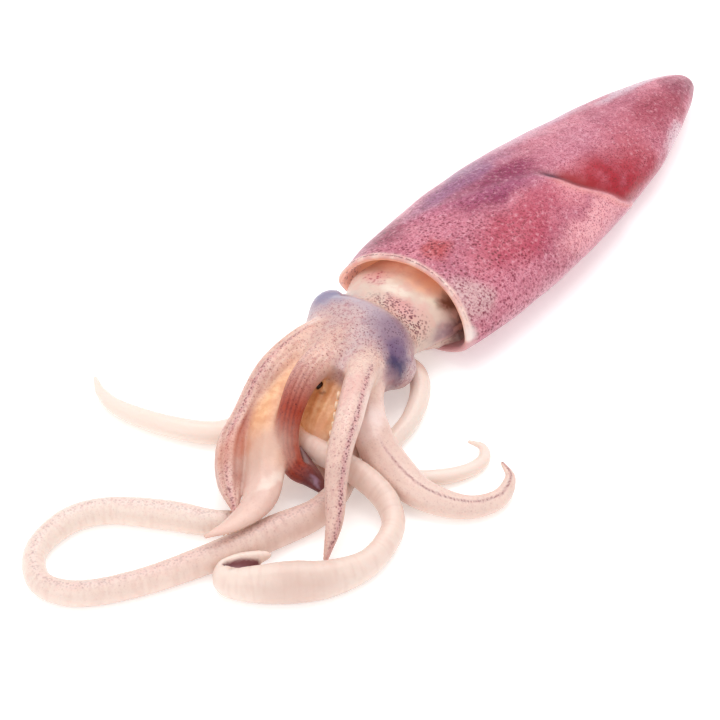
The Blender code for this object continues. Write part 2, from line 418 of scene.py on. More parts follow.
class Finish(Nodes):
    """A material under construction, with the shader and the few nodes that flesh needs."""

    def __init__(self, name, roughness, coat, scatter):
        self.material = bpy.data.materials.new(name)
        self.material.use_nodes = True
        super().__init__(self.material.node_tree)
        self.shader = self.tree.nodes["Principled BSDF"]
        self.place = self.node("ShaderNodeTexCoord", output="Object")
        set_sockets(self.shader, {
            "Roughness": roughness, "Coat Weight": coat, "Coat Roughness": 0.12,
            "Specular IOR Level": 0.3, "Subsurface Weight": scatter,
            "Subsurface Radius": (1.0, 0.45, 0.35), "Subsurface Scale": 0.004})

    def painted(self, name):
        """A number stored on the mesh by paint()."""
        return self.node("ShaderNodeAttribute", {"attribute_name": name}, output="Fac")

    def noise(self, size, detail=2.0, place=None, output="Fac"):
        """Cloudy noise whose patches are about size millimetres across."""
        return self.node("ShaderNodeTexNoise", None, {
            "Vector": place or self.place, "Scale": 1 / (size * MM), "Detail": detail,
            "Roughness": 0.55}, output)

    def mix(self, factor, first, second, blend="MIX"):
        """Colour first where factor is 0 and second where it is 1."""
        node = self.tree.nodes.new("ShaderNodeMix")
        node.data_type = "RGBA"
        node.blend_type = blend
        plug(self.tree, node.inputs[0], factor)
        plug(self.tree, node.inputs[6], first)
        plug(self.tree, node.inputs[7], second)
        return Level(self.tree, node.outputs[2])

    def stain(self, factor, colour, tint):
        """Multiplies a colour by a tint where factor is 1, as pigment in clear skin does."""
        return self.mix(factor, colour, tint, STAIN_AND_SHADE)

    def coats(self, colour, *rows):
        """Shades laid over a colour: the painted number that says where, the strength and the shade."""
        for name, strength, shade, *blend in rows:
            colour = self.mix(self.painted(name) * strength, colour, rgb(*shade), *blend)
        return colour

    def washes(self, colour, place, rows, soft=0.0):
        """Soft-edged patches: the shade of each, its centre and reach in mm and its strength."""
        for shade, centre, reach, strength in rows:
            colour = self.mix(self.blotch(centre, reach, place, soft) * strength, colour, rgb(*shade))
        return colour

    def swayed(self, size, detail, reach):
        """Places that wander a few millimetres, which gives patches uneven edges."""
        sway = self.vector("SUBTRACT", self.noise(size, detail, output="Color"), (0.5, 0.5, 0.5))
        return self.vector("ADD", self.place, self.vector("MULTIPLY", sway, [r * MM for r in reach]))

    def painted_glow(self, where, colour, strength):
        """Painted light: a faint emission that stands in for the light that comes through thin flesh.
        """
        plug(self.tree, self.shader.inputs["Emission Color"], self.mix(where, BLACK, colour))
        self.shader.inputs["Emission Strength"].default_value = strength

    def blotch(self, centre, reach, place, soft=0.0):
        """1 at a centre in millimetres, fading to 0 at the reach along X, Y and Z."""
        offset = self.vector("SUBTRACT", place, [c * MM for c in centre])
        scaled = self.vector("DIVIDE", offset, [r * MM for r in reach])
        return self.vector("LENGTH", scaled, output="Value").step(1.0, soft)

    def spots(self, spacing, reach, share):
        """Round pigment spots: their spacing and largest radius in millimetres, and their share."""
        cells = self.tree.nodes.new("ShaderNodeTexVoronoi")
        plug(self.tree, cells.inputs["Vector"], self.place)
        plug(self.tree, cells.inputs["Scale"], 1 / (spacing * MM))
        near = Level(self.tree, cells.outputs["Distance"])
        shade = Level(self.tree, cells.outputs["Color"])
        pick = self.node("ShaderNodeSeparateColor", None, {"Color": shade})
        return near.step(reach / spacing, reach / spacing * 0.45) * pick.step(share + 0.04, share)

    def bump(self, height, depth, strength=1.0, under=None):
        """Relief of a height from 0 to 1 over a depth in millimetres."""
        sockets = {"Height": height, "Distance": depth * MM, "Strength": strength}
        if under is not None:
            sockets["Normal"] = under
        return self.node("ShaderNodeBump", None, sockets)

    def done(self, colour, normal, gloss=None):
        plug(self.tree, self.shader.inputs["Base Color"], colour)
        plug(self.tree, self.shader.inputs["Normal"], normal)
        if gloss is not None:
            plug(self.tree, self.shader.inputs["Roughness"], gloss)
        return self.material


DOT_TINT = (0.40, 0.11, 0.20)
FRECKLE_TINT = (0.62, 0.30, 0.42)
# Washes of the skin and of the lining: shade, centre, reach along X, Y and Z, and strength
MANTLE_WASHES_AND_SHEEN = (
    # Pale mauve on the left flank: partly the skin's tone, partly painted sheen where it curves away
    ((200, 148, 170), (60, 34, 18), (150, 19, 20), 0.9),
    ((146, 84, 124), (-26, 27, 33), (50, 17, 22), 0.95),
    ((138, 16, 76), (-20, 8, 39), (46, 16, 18), 0.95),
    ((182, 62, 86), (-46, -20, 37), (42, 20, 22), 0.85),
    ((188, 76, 98), (-10, -16, 37), (26, 12, 22), 0.6),
    ((146, 48, 78), (-80, 31, 33), (24, 15, 16), 0.9),
    ((196, 116, 136), (-60, 8, 39), (16, 12, 12), 0.5),
    ((184, 70, 74), (-82, 1, 40), (13, 10, 12), 0.85),
    ((208, 170, 170), (-94, -29, 32), (18, 15, 20), 0.9),
    ((206, 132, 148), (-62, -40, 26), (40, 9, 13), 0.75),
    ((232, 166, 172), (0, -38, 26), (40, 13, 14), 0.95),
    ((222, 146, 156), (2, -20, 36), (17, 12, 12), 0.7),
    ((192, 118, 138), (36, 2, 34), (38, 14, 14), 0.6),
    ((186, 92, 110), (72, -13, 29), (34, 14, 16), 0.7),
    ((176, 58, 74), (56, -24, 24), (22, 14, 16), 0.7),
    ((160, 50, 74), (106, -9, 24), (40, 15, 17), 0.85),
    ((152, 68, 90), (136, -5, 20), (22, 14, 16), 0.85),
    # Pale on the upper left of the tail: partly the skin's tone, partly painted sheen
    ((208, 182, 194), (108, 13, 22), (60, 7, 10), 0.8),
    ((214, 162, 174), (-60, -44, 9), (80, 10, 15), 0.8),
    ((224, 180, 190), (56, -38, 8), (80, 12, 14), 0.85),
    ((220, 188, 196), (96, -24, 16), (20, 6, 10), 0.9),
    ((238, 218, 210), (-104, 39, 14), (7, 9, 15), 0.85),
    ((150, 100, 116), (-104, -18, 7), (24, 18, 10), 0.9),
)
LINING_WASHES_AND_SHADE = (
    ((222, 176, 172), (-100, 30, 20), (30, 20, 26), 0.95),
    ((234, 170, 132), (-90, -12, 32), (20, 18, 14), 0.6),
    # Painted shade in the three dark rows below: the gap beside the neck on the right and under the
    # collar's right side
    ((84, 50, 32), (-92, -26, 28), (16, 10, 12), 0.95),
    ((112, 56, 62), (-98, -31, 14), (20, 11, 18), 0.95),
    ((124, 74, 84), (-94, -24, 4), (30, 20, 9), 0.95),
)


def mantle_skin():
    finish = Finish("mantle_skin", 0.42, 0.2, 0.2)
    set_sockets(finish.shader, {
        "Sheen Weight": 0.2, "Sheen Roughness": 0.3, "Sheen Tint": (0.9, 0.86, 1.0, 1.0)})
    place = finish.swayed(26, 4.0, (24, 24, 14))
    cloud = finish.noise(20, 5.0)
    colour = finish.mix(cloud.step(0.36, 0.64), rgb(208, 130, 146), rgb(184, 102, 122))
    # Washes of colour, partly painted sheen on the left side
    colour = finish.washes(colour, place, MANTLE_WASHES_AND_SHEEN, 0.3)
    flush = finish.painted("flush") * (finish.noise(9.0, 3.0, place).step(0.3, 0.6) * 0.3 + 0.7)
    colour = finish.mix(flush, colour, rgb(166, 0, 34))
    colour = finish.coats(colour, ("ridge", 0.3, (196, 124, 156)), ("belly", 0.9, (224, 192, 196)))
    belly = finish.painted("belly")
    mottle = finish.noise(2.2, 4.0)
    colour = finish.mix(mottle.step(0.5, 0.74) * (1 - flush) * 0.34, colour, rgb(240, 192, 202))
    colour = finish.stain(mottle.step(0.5, 0.34) * (1 - belly) * 0.4, colour, FRECKLE_TINT)
    thick = (finish.noise(8.0, 2.0).step(0.3, 0.62) * 0.4 + 0.6) * (1 - belly * 0.75)
    front = finish.painted("front")
    colour = finish.stain(finish.spots(1.05, 0.52, 0.9) * thick * 0.85, colour, FRECKLE_TINT)
    colour = finish.stain(finish.spots(1.3, 0.52, 0.75) * thick * (0.8 - front * 0.3), colour, DOT_TINT)
    colour = finish.stain(finish.spots(1.9, 0.92, 0.85) * thick * front * 0.95, colour, DOT_TINT)
    colour = finish.coats(
        # painted shade in the crease: a dark red band, partly the skin's own red, and a darker line at
        # its bottom
        colour, ("fold", 0.9, (150, 0, 16)), ("fold_line", 0.7, (110, 8, 18)),
        # painted shade in the dimple where the crease starts, and a painted highlight on the rounded
        # skin just in front of the crease
        ("hollow", 0.9, (72, 26, 48)), ("edge", 0.5, (226, 150, 144)))
    streaks = finish.noise(5.0, 3.0).step(0.35, 0.65)
    streaks = finish.mix(streaks, rgb(222, 172, 166), rgb(240, 212, 200))
    colour = finish.mix(finish.painted("lip") * 0.85, colour, streaks)
    broken = finish.noise(1.5, 3.0).step(0.4, 0.54)
    colour = finish.mix(finish.painted("lip_line") * broken * 0.9, colour, rgb(104, 34, 50))
    colour = finish.coats(
        # the near-white corner of the rim is partly pale skin and partly a painted highlight
        colour, ("rim", 0.75, (242, 172, 142)), ("corner", 0.85, (240, 224, 218)),
        ("under_lip", 0.85, (202, 148, 152)))
    inside = finish.painted("inside")
    lining = finish.mix(finish.noise(14, 3.0), rgb(244, 210, 188), rgb(232, 184, 156))
    # Painted shade: the lining grows darker and warmer further inside the mantle's opening
    lining = finish.mix(finish.painted("deep"), lining, rgb(232, 182, 146))
    # Washes on the lining, with painted shade in the gap beside the neck
    lining = finish.washes(lining, place, LINING_WASHES_AND_SHADE)
    speckled = finish.blotch((-102, 30, 20), (24, 14, 24), place) * finish.spots(1.5, 0.8, 0.55)
    lining = finish.mix(speckled * 0.8, lining, rgb(124, 66, 92))
    colour = finish.mix(inside, colour, lining)
    # Painted light: the lining gives off a faint light that brightens the shaded cavity, in place of
    # light through its thin wall
    finish.painted_glow(inside, finish.stain(1.0, lining, rgb(250, 226, 206)), 0.27)
    relief = finish.bump(finish.noise(1.3, 3.0), 0.2, 0.7)
    relief = finish.bump(finish.noise(9.0, 2.0), 0.9, 0.5, relief)
    gloss = finish.noise(3.0, 3.0) * 0.2 + 0.3
    return finish.done(colour, relief, gloss)


# Rings from the tail tip over the outside, round the lip and in along the lining: the place
# of each along the mantle and how far it lies inside the skin
rings = [(TAIL_X - back, inset) for back, inset in TAIL_CAP]
outer_places = np.arange(TAIL_X - TAIL_CAP_END, COLLAR_X + LIP_START, -MANTLE_STEP)
rings += [(place, 0.0) for place in outer_places]
outer_rings = len(rings)
for swing in np.linspace(0, math.pi, LIP_STEPS + 1):
    place = COLLAR_X + LIP_SET - LIP_BULGE * math.sin(swing)
    rings.append((place, RIM_WALL * 0.5 * (1 - math.cos(swing))))
for depth in np.arange(LINING_STEP, MOUTH_DEPTH, LINING_STEP):
    wall = RIM_WALL + (WALL - RIM_WALL) * smooth(0, WALL_RUN, depth)
    rings.append((COLLAR_X + depth, wall + MOUTH_NARROWING * (depth / MOUTH_DEPTH) ** 3))
places, insets = np.array(rings).T[..., None]
angles = np.linspace(0, 2 * math.pi, MANTLE_SIDES, endpoint=False)
ring_angles = np.broadcast_to(angles[None, :], (len(places), MANTLE_SIDES))
mantle_rings = mantle_point(places, ring_angles, insets)
mantle_mesh = tube_mesh("mantle", mantle_rings)
mantle_mesh.flip_normals()

# Where each part of the skin lies, for the material: all of these go from 0 to 1
row = np.arange(len(places))[:, None] + 0 * ring_angles
turn = np.degrees(ring_angles)
x = mantle_rings[..., 0]
outside = row < outer_rings
on_lip = row >= outer_rings
past = x - fin_margin(turn)
back = outside * between(turn, 86, 104, 175, 205)
lip_swing = np.clip((row - outer_rings) / LIP_STEPS, 0, 1)
depth = np.clip(places - COLLAR_X, 0, None) + 0 * ring_angles
inner = row > outer_rings + LIP_STEPS * 0.6
from_rim = x - COLLAR_X - collar_setback(ring_angles)
corner_reach = 2.6 + 4.5 * smooth(154, 172, turn)
flap = on_lip * between(turn, 182, 192, 250, 275) * (1 - smooth(5, 11, depth))
below = between(turn, 176, 186, 300, 330)
attributes = {
    "belly": outside * between(turn, 205, 250, 300, 345),
    # Painted shade in the crease behind the fins' margin: a dark red band, partly the skin's own red
    "fold": back * smooth(-2.0, 1.5, past) * bell(np.maximum(past - 5.0, 0), 5.0)
    * smooth(94, 108, turn) * (1 - 0.7 * smooth(122, 150, turn)),
    # Painted shade: a darker line along the bottom of the crease
    "fold_line": back * bell(past - 2.0, 2.0) * (1 - 0.7 * smooth(112, 140, turn)),
    "flush": back * between(past, -1.5, 2.0, 18, 54) * smooth(95, 118, turn)
    * (1 - 0.5 * smooth(160, 185, turn)),
    # Painted highlight on the rounded skin just in front of the crease
    "edge": back * bell(past + 3.4, 2.6) * smooth(98, 112, turn),
    "lip": np.where(outside, smooth(2.4, 0.5, from_rim), 1.0) * ~inner,
    "ridge": outside * bell(mantle_rings[..., 1] - ridge_line(x), RIDGE_WIDTH) * ridge_span(x)
    * (turn < 180),
    "lip_line": bell(lip_swing - 0.10, 0.07) * (row >= outer_rings - 2) * smooth(4, 20, turn)
    * (1 - 0.6 * smooth(100, 135, turn)) * (turn < 172),
    "rim": bell(lip_swing - 0.64, 0.2) * on_lip * (turn < 200),
    # Near-white at the rim's right corner: partly pale skin, partly a painted highlight
    "corner": smooth(corner_reach, 0.4, from_rim) * ~inner * between(turn, 150, 166, 176, 186),
    "under_lip": np.maximum((row >= outer_rings - 3) * ~inner * below, flap),
    "front": outside * smooth(12, -74, x),
    # Painted shade in the dimple where the crease starts
    "hollow": outside * bell(past - 2.6, 2.6) * bell(turn - 99, 7),
    "inside": np.where(inner, 1.0, smooth(0.6, 0.95, lip_swing) * on_lip) * (1 - flap),
    # Painted shade further inside the mantle's opening
    "deep": inner * smooth(3, 26, depth) * 0.85,
}
for name, values in attributes.items():
    values = values.reshape(-1)
    paint(mantle_mesh, name, np.concatenate([values, values[:1], values[-1:]]))
finished(mantle_mesh, mantle_skin())


# ---------------------------------------------------------------- head, neck and arms
# Neck, head and the eight arms are one body of muscle under one skin. The arms grow out of
# the head in a ring and are joined by webs at their roots. Each has a keel along its back,
# marked by a dotted line, and a flatter inner side that carries the suckers.

# X, Y and Z of the middle of each section, its half width and its half height
HEAD_FORM = (
    (-54, 1, 17.0, 24.0, 10.0),
    (-72, 1, 17.0, 27.0, 11.6),
    (-88, 2, 17.0, 30.0, 12.6),
    (-102, 2.5, 17.5, 30.0, 13.4),
    (-114, 2, 18.0, 25.5, 13.8),
    (-123.8, 1, 19.0, 22.8, 14.4),
    (-128, 2, 20.3, 24.8, 16.8),
    (-132.5, 2, 21.2, 27.2, 18.0),
    (-138, 1, 20.8, 28.5, 18.4),
    (-148, -2, 21.0, 26.5, 17.3),
    (-156, -4, 23.0, 23.0, 14.6),
    (-164, -6, 26.0, 18.5, 11.0),
    (-171, -8, 28.5, 12.0, 7.5),
)
# Height over width, strength of the furrows, and places along the line with the half width
ARMS = {
    "arm_1_left": (0.85, 1.2, (
        (-149, 0, 29, 9.5), (-166, -2, 33, 8.4), (-186, -5.5, 34, 6.7), (-202, -11, 28, 5.6),
        (-211, -17, 21, 5.3), (-215, -24, 14, 4.9), (-213.5, -31, 11, 4.2), (-215, -40, 9, 1.4))),
    "arm_1_right": (0.85, 0.5, (
        (-151, -15, 28, 7.6), (-174, -27.2, 36, 6.7), (-194, -38, 36, 6.2), (-208, -44.5, 32, 5.6),
        (-218, -50, 22, 5.0), (-229, -58, 13, 3.9), (-241, -63, 3.5, 1.3))),
    "arm_2_left": (0.85, 0.9, (
        (-146, 10, 26, 9.5), (-162, 13, 29.5, 8.8), (-186, 14, 29, 7.0), (-208, 9.5, 20.5, 6.6),
        (-224, 3.5, 16.5, 7.6), (-240, -9, 15.5, 6.2), (-251, -21, 14, 1.5))),
    "arm_2_right": (0.8, 0.35, (
        (-146, -14, 24, 9.0), (-168, -27, 22, 8.0), (-181, -42, 16, 8.8), (-186, -57, 10, 9.0),
        (-188, -75, 7.5, 7.2), (-181, -92.5, 5.6, 5.6), (-168, -100.5, 5, 4.4), (-155, -98, 6, 2.6),
        (-150, -90, 7, 1.0))),
    "arm_3_left": (0.62, 0.35, (
        (-153, 8, 22, 9.5), (-177, 5.5, 25, 10.0), (-200, 0.5, 22.5, 9.8), (-224, -15, 17, 9.4),
        (-242, -27, 17, 7.6), (-259, -28, 17.5, 4.4), (-273, -24, 18, 1.1))),
    "arm_3_right": (0.8, 0.5, (
        (-152, -12, 17, 8.0), (-168, -15, 16, 8.4), (-184, -16, 13, 8.0), (-196, -20, 8, 6.0),
        (-202, -28, 4.5, 4.0), (-203, -37, 3, 1.3))),
    "arm_4_left": (0.85, 0.3, (
        (-152, 5, 14, 6.5), (-172, 11, 11, 6.2), (-194, 14, 8, 6.0), (-212, 22, 5.5, 5.8),
        (-223, 43, 5, 5.2), (-228, 69, 4.2, 4.1), (-225, 84, 3.4, 2.6), (-219, 94, 2.8, 1.0))),
    "arm_4_right": (0.9, 0.3, (
        (-150, -8, 12, 6.0), (-136, -9, 8, 5.2), (-126, -15, 7, 4.9), (-127, -25, 7, 4.8),
        (-137, -34, 6, 4.8), (-152, -40, 5, 4.6), (-167, -42, 4.4, 4.5), (-178, -45, 4, 4.3),
        (-182, -54, 4, 4.2), (-179, -64, 3.8, 4.1), (-170, -73, 3.5, 3.9), (-160, -79, 3.2, 3.5),
        (-150, -80, 3, 3.0), (-144, -75, 3, 2.0), (-145, -68, 3, 0.9))),
}
SWELLINGS = {
    "mouth": (0.72, 0.0, (
        (-150, -4, 18, 14.0), (-163, -8, 16.5, 14.8), (-176, -12, 14, 13.5),
        (-188, -15, 11.5, 10.0), (-196, -17, 9.5, 4.0))),
    "eye_right": (1.0, 0.0, (
        (-131, -19, 17, 5.0), (-135, -20.5, 17, 8.4), (-141, -21.5, 16.5, 8.8), (-147, -20, 16, 5.0))),
    "eye_left": (1.0, 0.0, (
        (-125, 20.5, 24, 5.0), (-129, 22, 24.5, 8.6), (-135, 22, 24.5, 8.8), (-142, 19, 23, 5.0))),
    "web_fold": (0.6, 0.0, (
        (-205, -19, 15, 1.6), (-208, -26, 12.5, 2.3), (-210.5, -34, 10.5, 2.1), (-213, -41, 8.5, 0.8))),
}
MOUTH_FOLDS = 13
HEAD_SLANT = 0.05
HEAD_HALF_SPAN = 40
SKIN_LOW = (-280, -108, -2.5)
SKIN_HIGH = (-58, 98, 48)
SKIN_CELL = 0.85
SKIN_SETTLING = 0.4
WEB_REACH = 4.8
CREASE_REACH = 1.8
CROWN = np.array((-158.0, -5.0, 24.0))
CROWN_STRETCH = (1.0, 1.0, 1.6)
CROWN_EDGE = (10, 42)
LIMB_FLOOR = 0.2
LIMB_STEP = 1.5
POINTS_AT_ONCE = 50000
KEEL_HEIGHT = 0.08
FURROW_DEPTH = 0.045
INNER_FLATNESS = 0.13
INNER_EDGES = 0.05
MOUTH_FOLD_HEIGHT = 0.05
# Half widths in degrees of the keel, the flat inner side and the edges on both sides of it
KEEL_SPREAD = 17
INNER_SPREAD = 48
EDGE_SPREAD = 12
EDGE_ANGLES = (222, 318)


def curve_through(rows, step):
    """Rows of numbers on a smooth curve through the given ones, about step millimetres apart."""
    rows = np.array(rows, float)
    ends = np.vstack([2 * rows[0] - rows[1], rows, 2 * rows[-1] - rows[-2]])
    found = []
    for a, b, c, d in zip(ends, ends[1:], ends[2:], ends[3:]):
        count = max(2, round(np.linalg.norm((c - b)[:3]) / step))
        t = np.linspace(0, 1, count, endpoint=False)[:, None]
        found.append(0.5 * (2 * b + (c - a) * t + (2 * a - 5 * b + 4 * c - d) * t ** 2
                            + (3 * b - a - 3 * c + d) * t ** 3))
    return np.vstack(found + [rows[-1:]])


class Limb:
    """A limb's line with its width, its sideways and upward directions and its length so far."""

    def __init__(self, aspect, furrow, bends):
        rows = curve_through(bends, LIMB_STEP)
        self.aspect = aspect
        self.furrow = furrow
        self.folds = 0
        self.line = rows[:, :3]
        self.width = rows[:, 3]
        ahead = np.gradient(self.line, axis=0)
        ahead /= np.linalg.norm(ahead, axis=1)[:, None]
        up = np.array((0.0, 0.0, 1.0))
        ups = []
        for direction in ahead:
            up = up - direction * up.dot(direction)
            up = up / np.linalg.norm(up)
            ups.append(up)
        self.up = np.array(ups)
        self.side = np.cross(self.up, ahead)
        run = np.concatenate([[0], np.cumsum(np.linalg.norm(np.diff(self.line, axis=0), axis=1))])
        self.length = run[-1]
        self.along = run / run[-1]

    def nearest(self, points):
        """The place on the line that is closest to each point, as a row number with a fraction."""
        gap = np.diff(self.line, axis=0)
        square = (gap ** 2).sum(1)
        found = np.empty(len(points))
        for start in range(0, len(points), POINTS_AT_ONCE):
            part = points[start:start + POINTS_AT_ONCE]
            i = ((self.line ** 2).sum(1) - 2 * part @ self.line.T).argmin(1)
            best, where = np.full(len(part), np.inf), np.zeros(len(part))
            for j in (np.clip(i - 1, 0, len(gap) - 1), np.clip(i, 0, len(gap) - 1)):
                t = np.clip(((part - self.line[j]) * gap[j]).sum(1) / square[j], 0, 1)
                far = ((part - self.line[j] - gap[j] * t[:, None]) ** 2).sum(1)
                better = far < best
                best = np.where(better, far, best)
                where = np.where(better, j + t, where)
            found[start:start + POINTS_AT_ONCE] = where
        return found

    def at(self, values, where):
        """Values stored along the line, read at fractional rows."""
        i = np.clip(where.astype(int), 0, len(values) - 2)
        t = where - i
        if values.ndim == 2:
            t = t[:, None]
        return values[i] * (1 - t) + values[i + 1] * t

    def section(self, where, angle):
        """Radius of the limb at a place and an angle, 90 degrees being its keeled back."""
        a = self.at(self.width, where)
        b = a * self.aspect
        radius = a * b / np.sqrt((b * np.cos(angle)) ** 2 + (a * np.sin(angle)) ** 2)
        turn = np.degrees(angle) % 360
        keel = KEEL_HEIGHT * min(self.furrow, 1.0) * bell(turn - 90, KEEL_SPREAD)
        keel = keel - FURROW_DEPTH * self.furrow * self.grooves(turn)
        flat = -INNER_FLATNESS * bell(turn - 270, INNER_SPREAD) * (self.furrow > 0)
        edges = sum(bell(turn - place, EDGE_SPREAD) for place in EDGE_ANGLES)
        edges = INNER_EDGES * edges * (self.furrow > 0)
        folds = MOUTH_FOLD_HEIGHT * np.cos(self.folds * angle) * (self.folds > 0)
        return radius * (1 + keel + flat + edges + folds)

    def grooves(self, turn):
        """The furrows between the long bundles of muscle, 1 at the bottom of each."""
        if self.furrow > 1:
            return sum(bell(turn - place, 4.5) for place in (52, 76, 99)) + 0.5 * bell(turn - 131, 5)
        return sum(bell(turn - place, width) for place, width in ((58, 8), (122, 8), (22, 9), (158, 9)))

    def angle_of(self, offset, where):
        """The angle round the limb at which each offset from its line points."""
        above, across = ((offset * self.at(way, where)).sum(1) for way in (self.up, self.side))
        return np.arctan2(above, across)

    def outward(self, where, angle):
        """Directions across the limb at places along it and angles round it."""
        return (self.at(self.side, where) * np.cos(angle)[:, None]
                + self.at(self.up, where) * np.sin(angle)[:, None])

    def field(self, points):
        """Distance outside the limb's skin for each point, less than 0 inside it."""
        where = self.nearest(points)
        offset = points - self.at(self.line, where)
        angle = self.angle_of(offset, where)
        return np.linalg.norm(offset, axis=1) - self.section(where, angle), where, angle


def blend_in(field, other, reach):
    """Union of two fields with a fillet of the given reach."""
    h = np.maximum(reach - np.abs(field - other), 0) / reach
    return np.minimum(field, other) - h * h * reach * 0.25


def head_field(points):
    """Distance outside the neck and head, which are a loft of ellipses along X."""
    form = np.array(sorted(HEAD_FORM), float)
    x = points[:, 0] + HEAD_SLANT * points[:, 1]
    inside_x = np.clip(x, form[0, 0], form[-1, 0])
    y, z, half_width, half_height = (form_at(form, k, inside_x) for k in (1, 2, 3, 4))
    across, above = (points[:, 1] - y) / half_width, (points[:, 2] - z) / half_height
    radial = np.sqrt(across ** 2 + above ** 2) + 1e-6
    distance = (radial - 1) * np.sqrt(across ** 2 + above ** 2) * np.sqrt(
        1 / ((across / half_width) ** 2 + (above / half_height) ** 2 + 1e-9)) / radial
    beyond = np.abs(x - inside_x)
    return np.where(beyond > 0, np.hypot(np.maximum(distance, 0), beyond), distance)


class Grid:
    """A block of cells with a distance field in it, which net() turns into a skin."""

    def __init__(self, low, high, cell):
        self.low = np.array(low, float)
        self.cell = cell
        shape = np.ceil((np.array(high) - self.low) / cell).astype(int) + 1
        self.field = np.full(shape, 50.0, np.float32)

    def window(self, low, high):
        first = np.clip(np.floor((np.array(low) - self.low) / self.cell).astype(int), 0, None)
        last = np.ceil((np.array(high) - self.low) / self.cell).astype(int) + 1
        return tuple(slice(a, b) for a, b in zip(first, np.minimum(last, self.field.shape)))

    def points(self, window):
        axes = [self.low[k] + self.cell * np.arange(window[k].start, window[k].stop) for k in range(3)]
        return np.stack(np.meshgrid(*axes, indexing="ij"), -1).reshape(-1, 3)

    def add(self, low, high, measure):
        """Joins a form to the field within a box, with wide fillets near the crown of arms."""
        window = self.window(low, high)
        points = self.points(window)
        crown = np.linalg.norm((points - CROWN) / CROWN_STRETCH, axis=1)
        reach = CREASE_REACH + (WEB_REACH - CREASE_REACH) * (1 - smooth(*CROWN_EDGE, crown))
        shape = self.field[window].shape
        joined = blend_in(self.field[window].reshape(-1), measure(points), reach)
        self.field[window] = joined.reshape(shape)

    def sample(self, points):
        """Value and slope of the field at points, between cells."""
        place = np.clip((points - self.low) / self.cell, 0, np.array(self.field.shape) - 1.001)
        i = place.astype(int)
        t = place - i
        value, slope = 0.0, np.zeros((len(points), 3))
        for corner in np.ndindex(2, 2, 2):
            part = [t[:, k] if corner[k] else 1 - t[:, k] for k in range(3)]
            here = self.field[i[:, 0] + corner[0], i[:, 1] + corner[1], i[:, 2] + corner[2]]
            value = value + here * part[0] * part[1] * part[2]
            for k in range(3):
                others = [part[m] for m in range(3) if m != k]
                slope[:, k] += here * (1 if corner[k] else -1) * others[0] * others[1]
        return value, slope / self.cell

    def settled(self, points, most):
        """The points, moved onto the skin by up to most millimetres in each of three rounds."""
        for _ in range(3):
            value, slope = self.sample(points)
            steep = (slope ** 2).sum(1) + 1e-6
            points = points - np.clip(value / steep, -most, most)[:, None] * slope
        return points

    def net(self):
        """Points and quads of the skin where the field is 0: one point in each crossed cell."""
        inside = self.field < 0
        count = np.zeros(np.array(inside.shape) - 1, np.int8)
        for corner in np.ndindex(2, 2, 2):
            count += inside[tuple(slice(c, s - 1 + c) for c, s in zip(corner, inside.shape))]
        cells = np.argwhere((count > 0) & (count < 8))
        number = np.full(count.shape, -1, np.int32)
        number[tuple(cells.T)] = np.arange(len(cells))
        total, hits = np.zeros((len(cells), 3)), np.zeros(len(cells))
        for axis in range(3):
            for corner in np.ndindex(2, 2, 2):
                if corner[axis]:
                    continue
                near = cells + corner
                far = near.copy()
                far[:, axis] += 1
                a, b = self.field[tuple(near.T)], self.field[tuple(far.T)]
                crossed = (a < 0) != (b < 0)
                t = np.where(crossed, a / np.where(crossed, a - b, 1), 0)
                place = np.array(corner, float) + np.zeros((len(cells), 3))
                place[:, axis] += t
                total += place * crossed[:, None]
                hits += crossed
        points = self.low + (cells + total / hits[:, None]) * self.cell
        quads = []
        for axis in range(3):
            one, two = [k for k in range(3) if k != axis]
            low = [slice(None)] * 3
            high = [slice(None)] * 3
            low[axis], high[axis] = slice(None, -1), slice(1, None)
            change = inside[tuple(low)] != inside[tuple(high)]
            edges = np.argwhere(change)
            edges = edges[(edges[:, one] > 0) & (edges[:, two] > 0)]
            edges = edges[(edges[:, one] < count.shape[one]) & (edges[:, two] < count.shape[two])]
            around = []
            for da, db in ((-1, -1), (0, -1), (0, 0), (-1, 0)):
                cell = edges.copy()
                cell[:, one] += da
                cell[:, two] += db
                around.append(number[tuple(cell.T)])
            quad = np.stack(around, -1)
            flip = inside[tuple(edges.T)] == (axis == 1)
            quad[flip] = quad[flip][:, ::-1]
            quads.append(quad)
        return points, np.concatenate(quads)


arms = {name: Limb(*spec) for name, spec in ARMS.items()}
swellings = {name: Limb(*spec) for name, spec in SWELLINGS.items()}
swellings["mouth"].folds = MOUTH_FOLDS
skin = Grid(SKIN_LOW, SKIN_HIGH, SKIN_CELL)
head_low = (min(row[0] for row in HEAD_FORM) - 8, -HEAD_HALF_SPAN, SKIN_LOW[2])
head_high = (SKIN_HIGH[0], HEAD_HALF_SPAN, SKIN_HIGH[2])
skin.add(head_low, head_high, head_field)
for limb in list(swellings.values()) + list(arms.values()):
    margin = limb.width.max() * 1.2 + WEB_REACH
    skin.add(limb.line.min(0) - margin, limb.line.max(0) + margin,
             lambda points, limb=limb: limb.field(points)[0])
skin.field[-1] = np.maximum(skin.field[-1], 0.5 * SKIN_CELL)
skin_points, skin_quads = skin.net()
skin_points = skin.settled(skin_points, SKIN_SETTLING)
skin_points[:, 2] = np.maximum(skin_points[:, 2], LIMB_FLOOR)
skin_mesh = smooth_mesh("head_and_arms", skin_points, skin_quads.tolist())

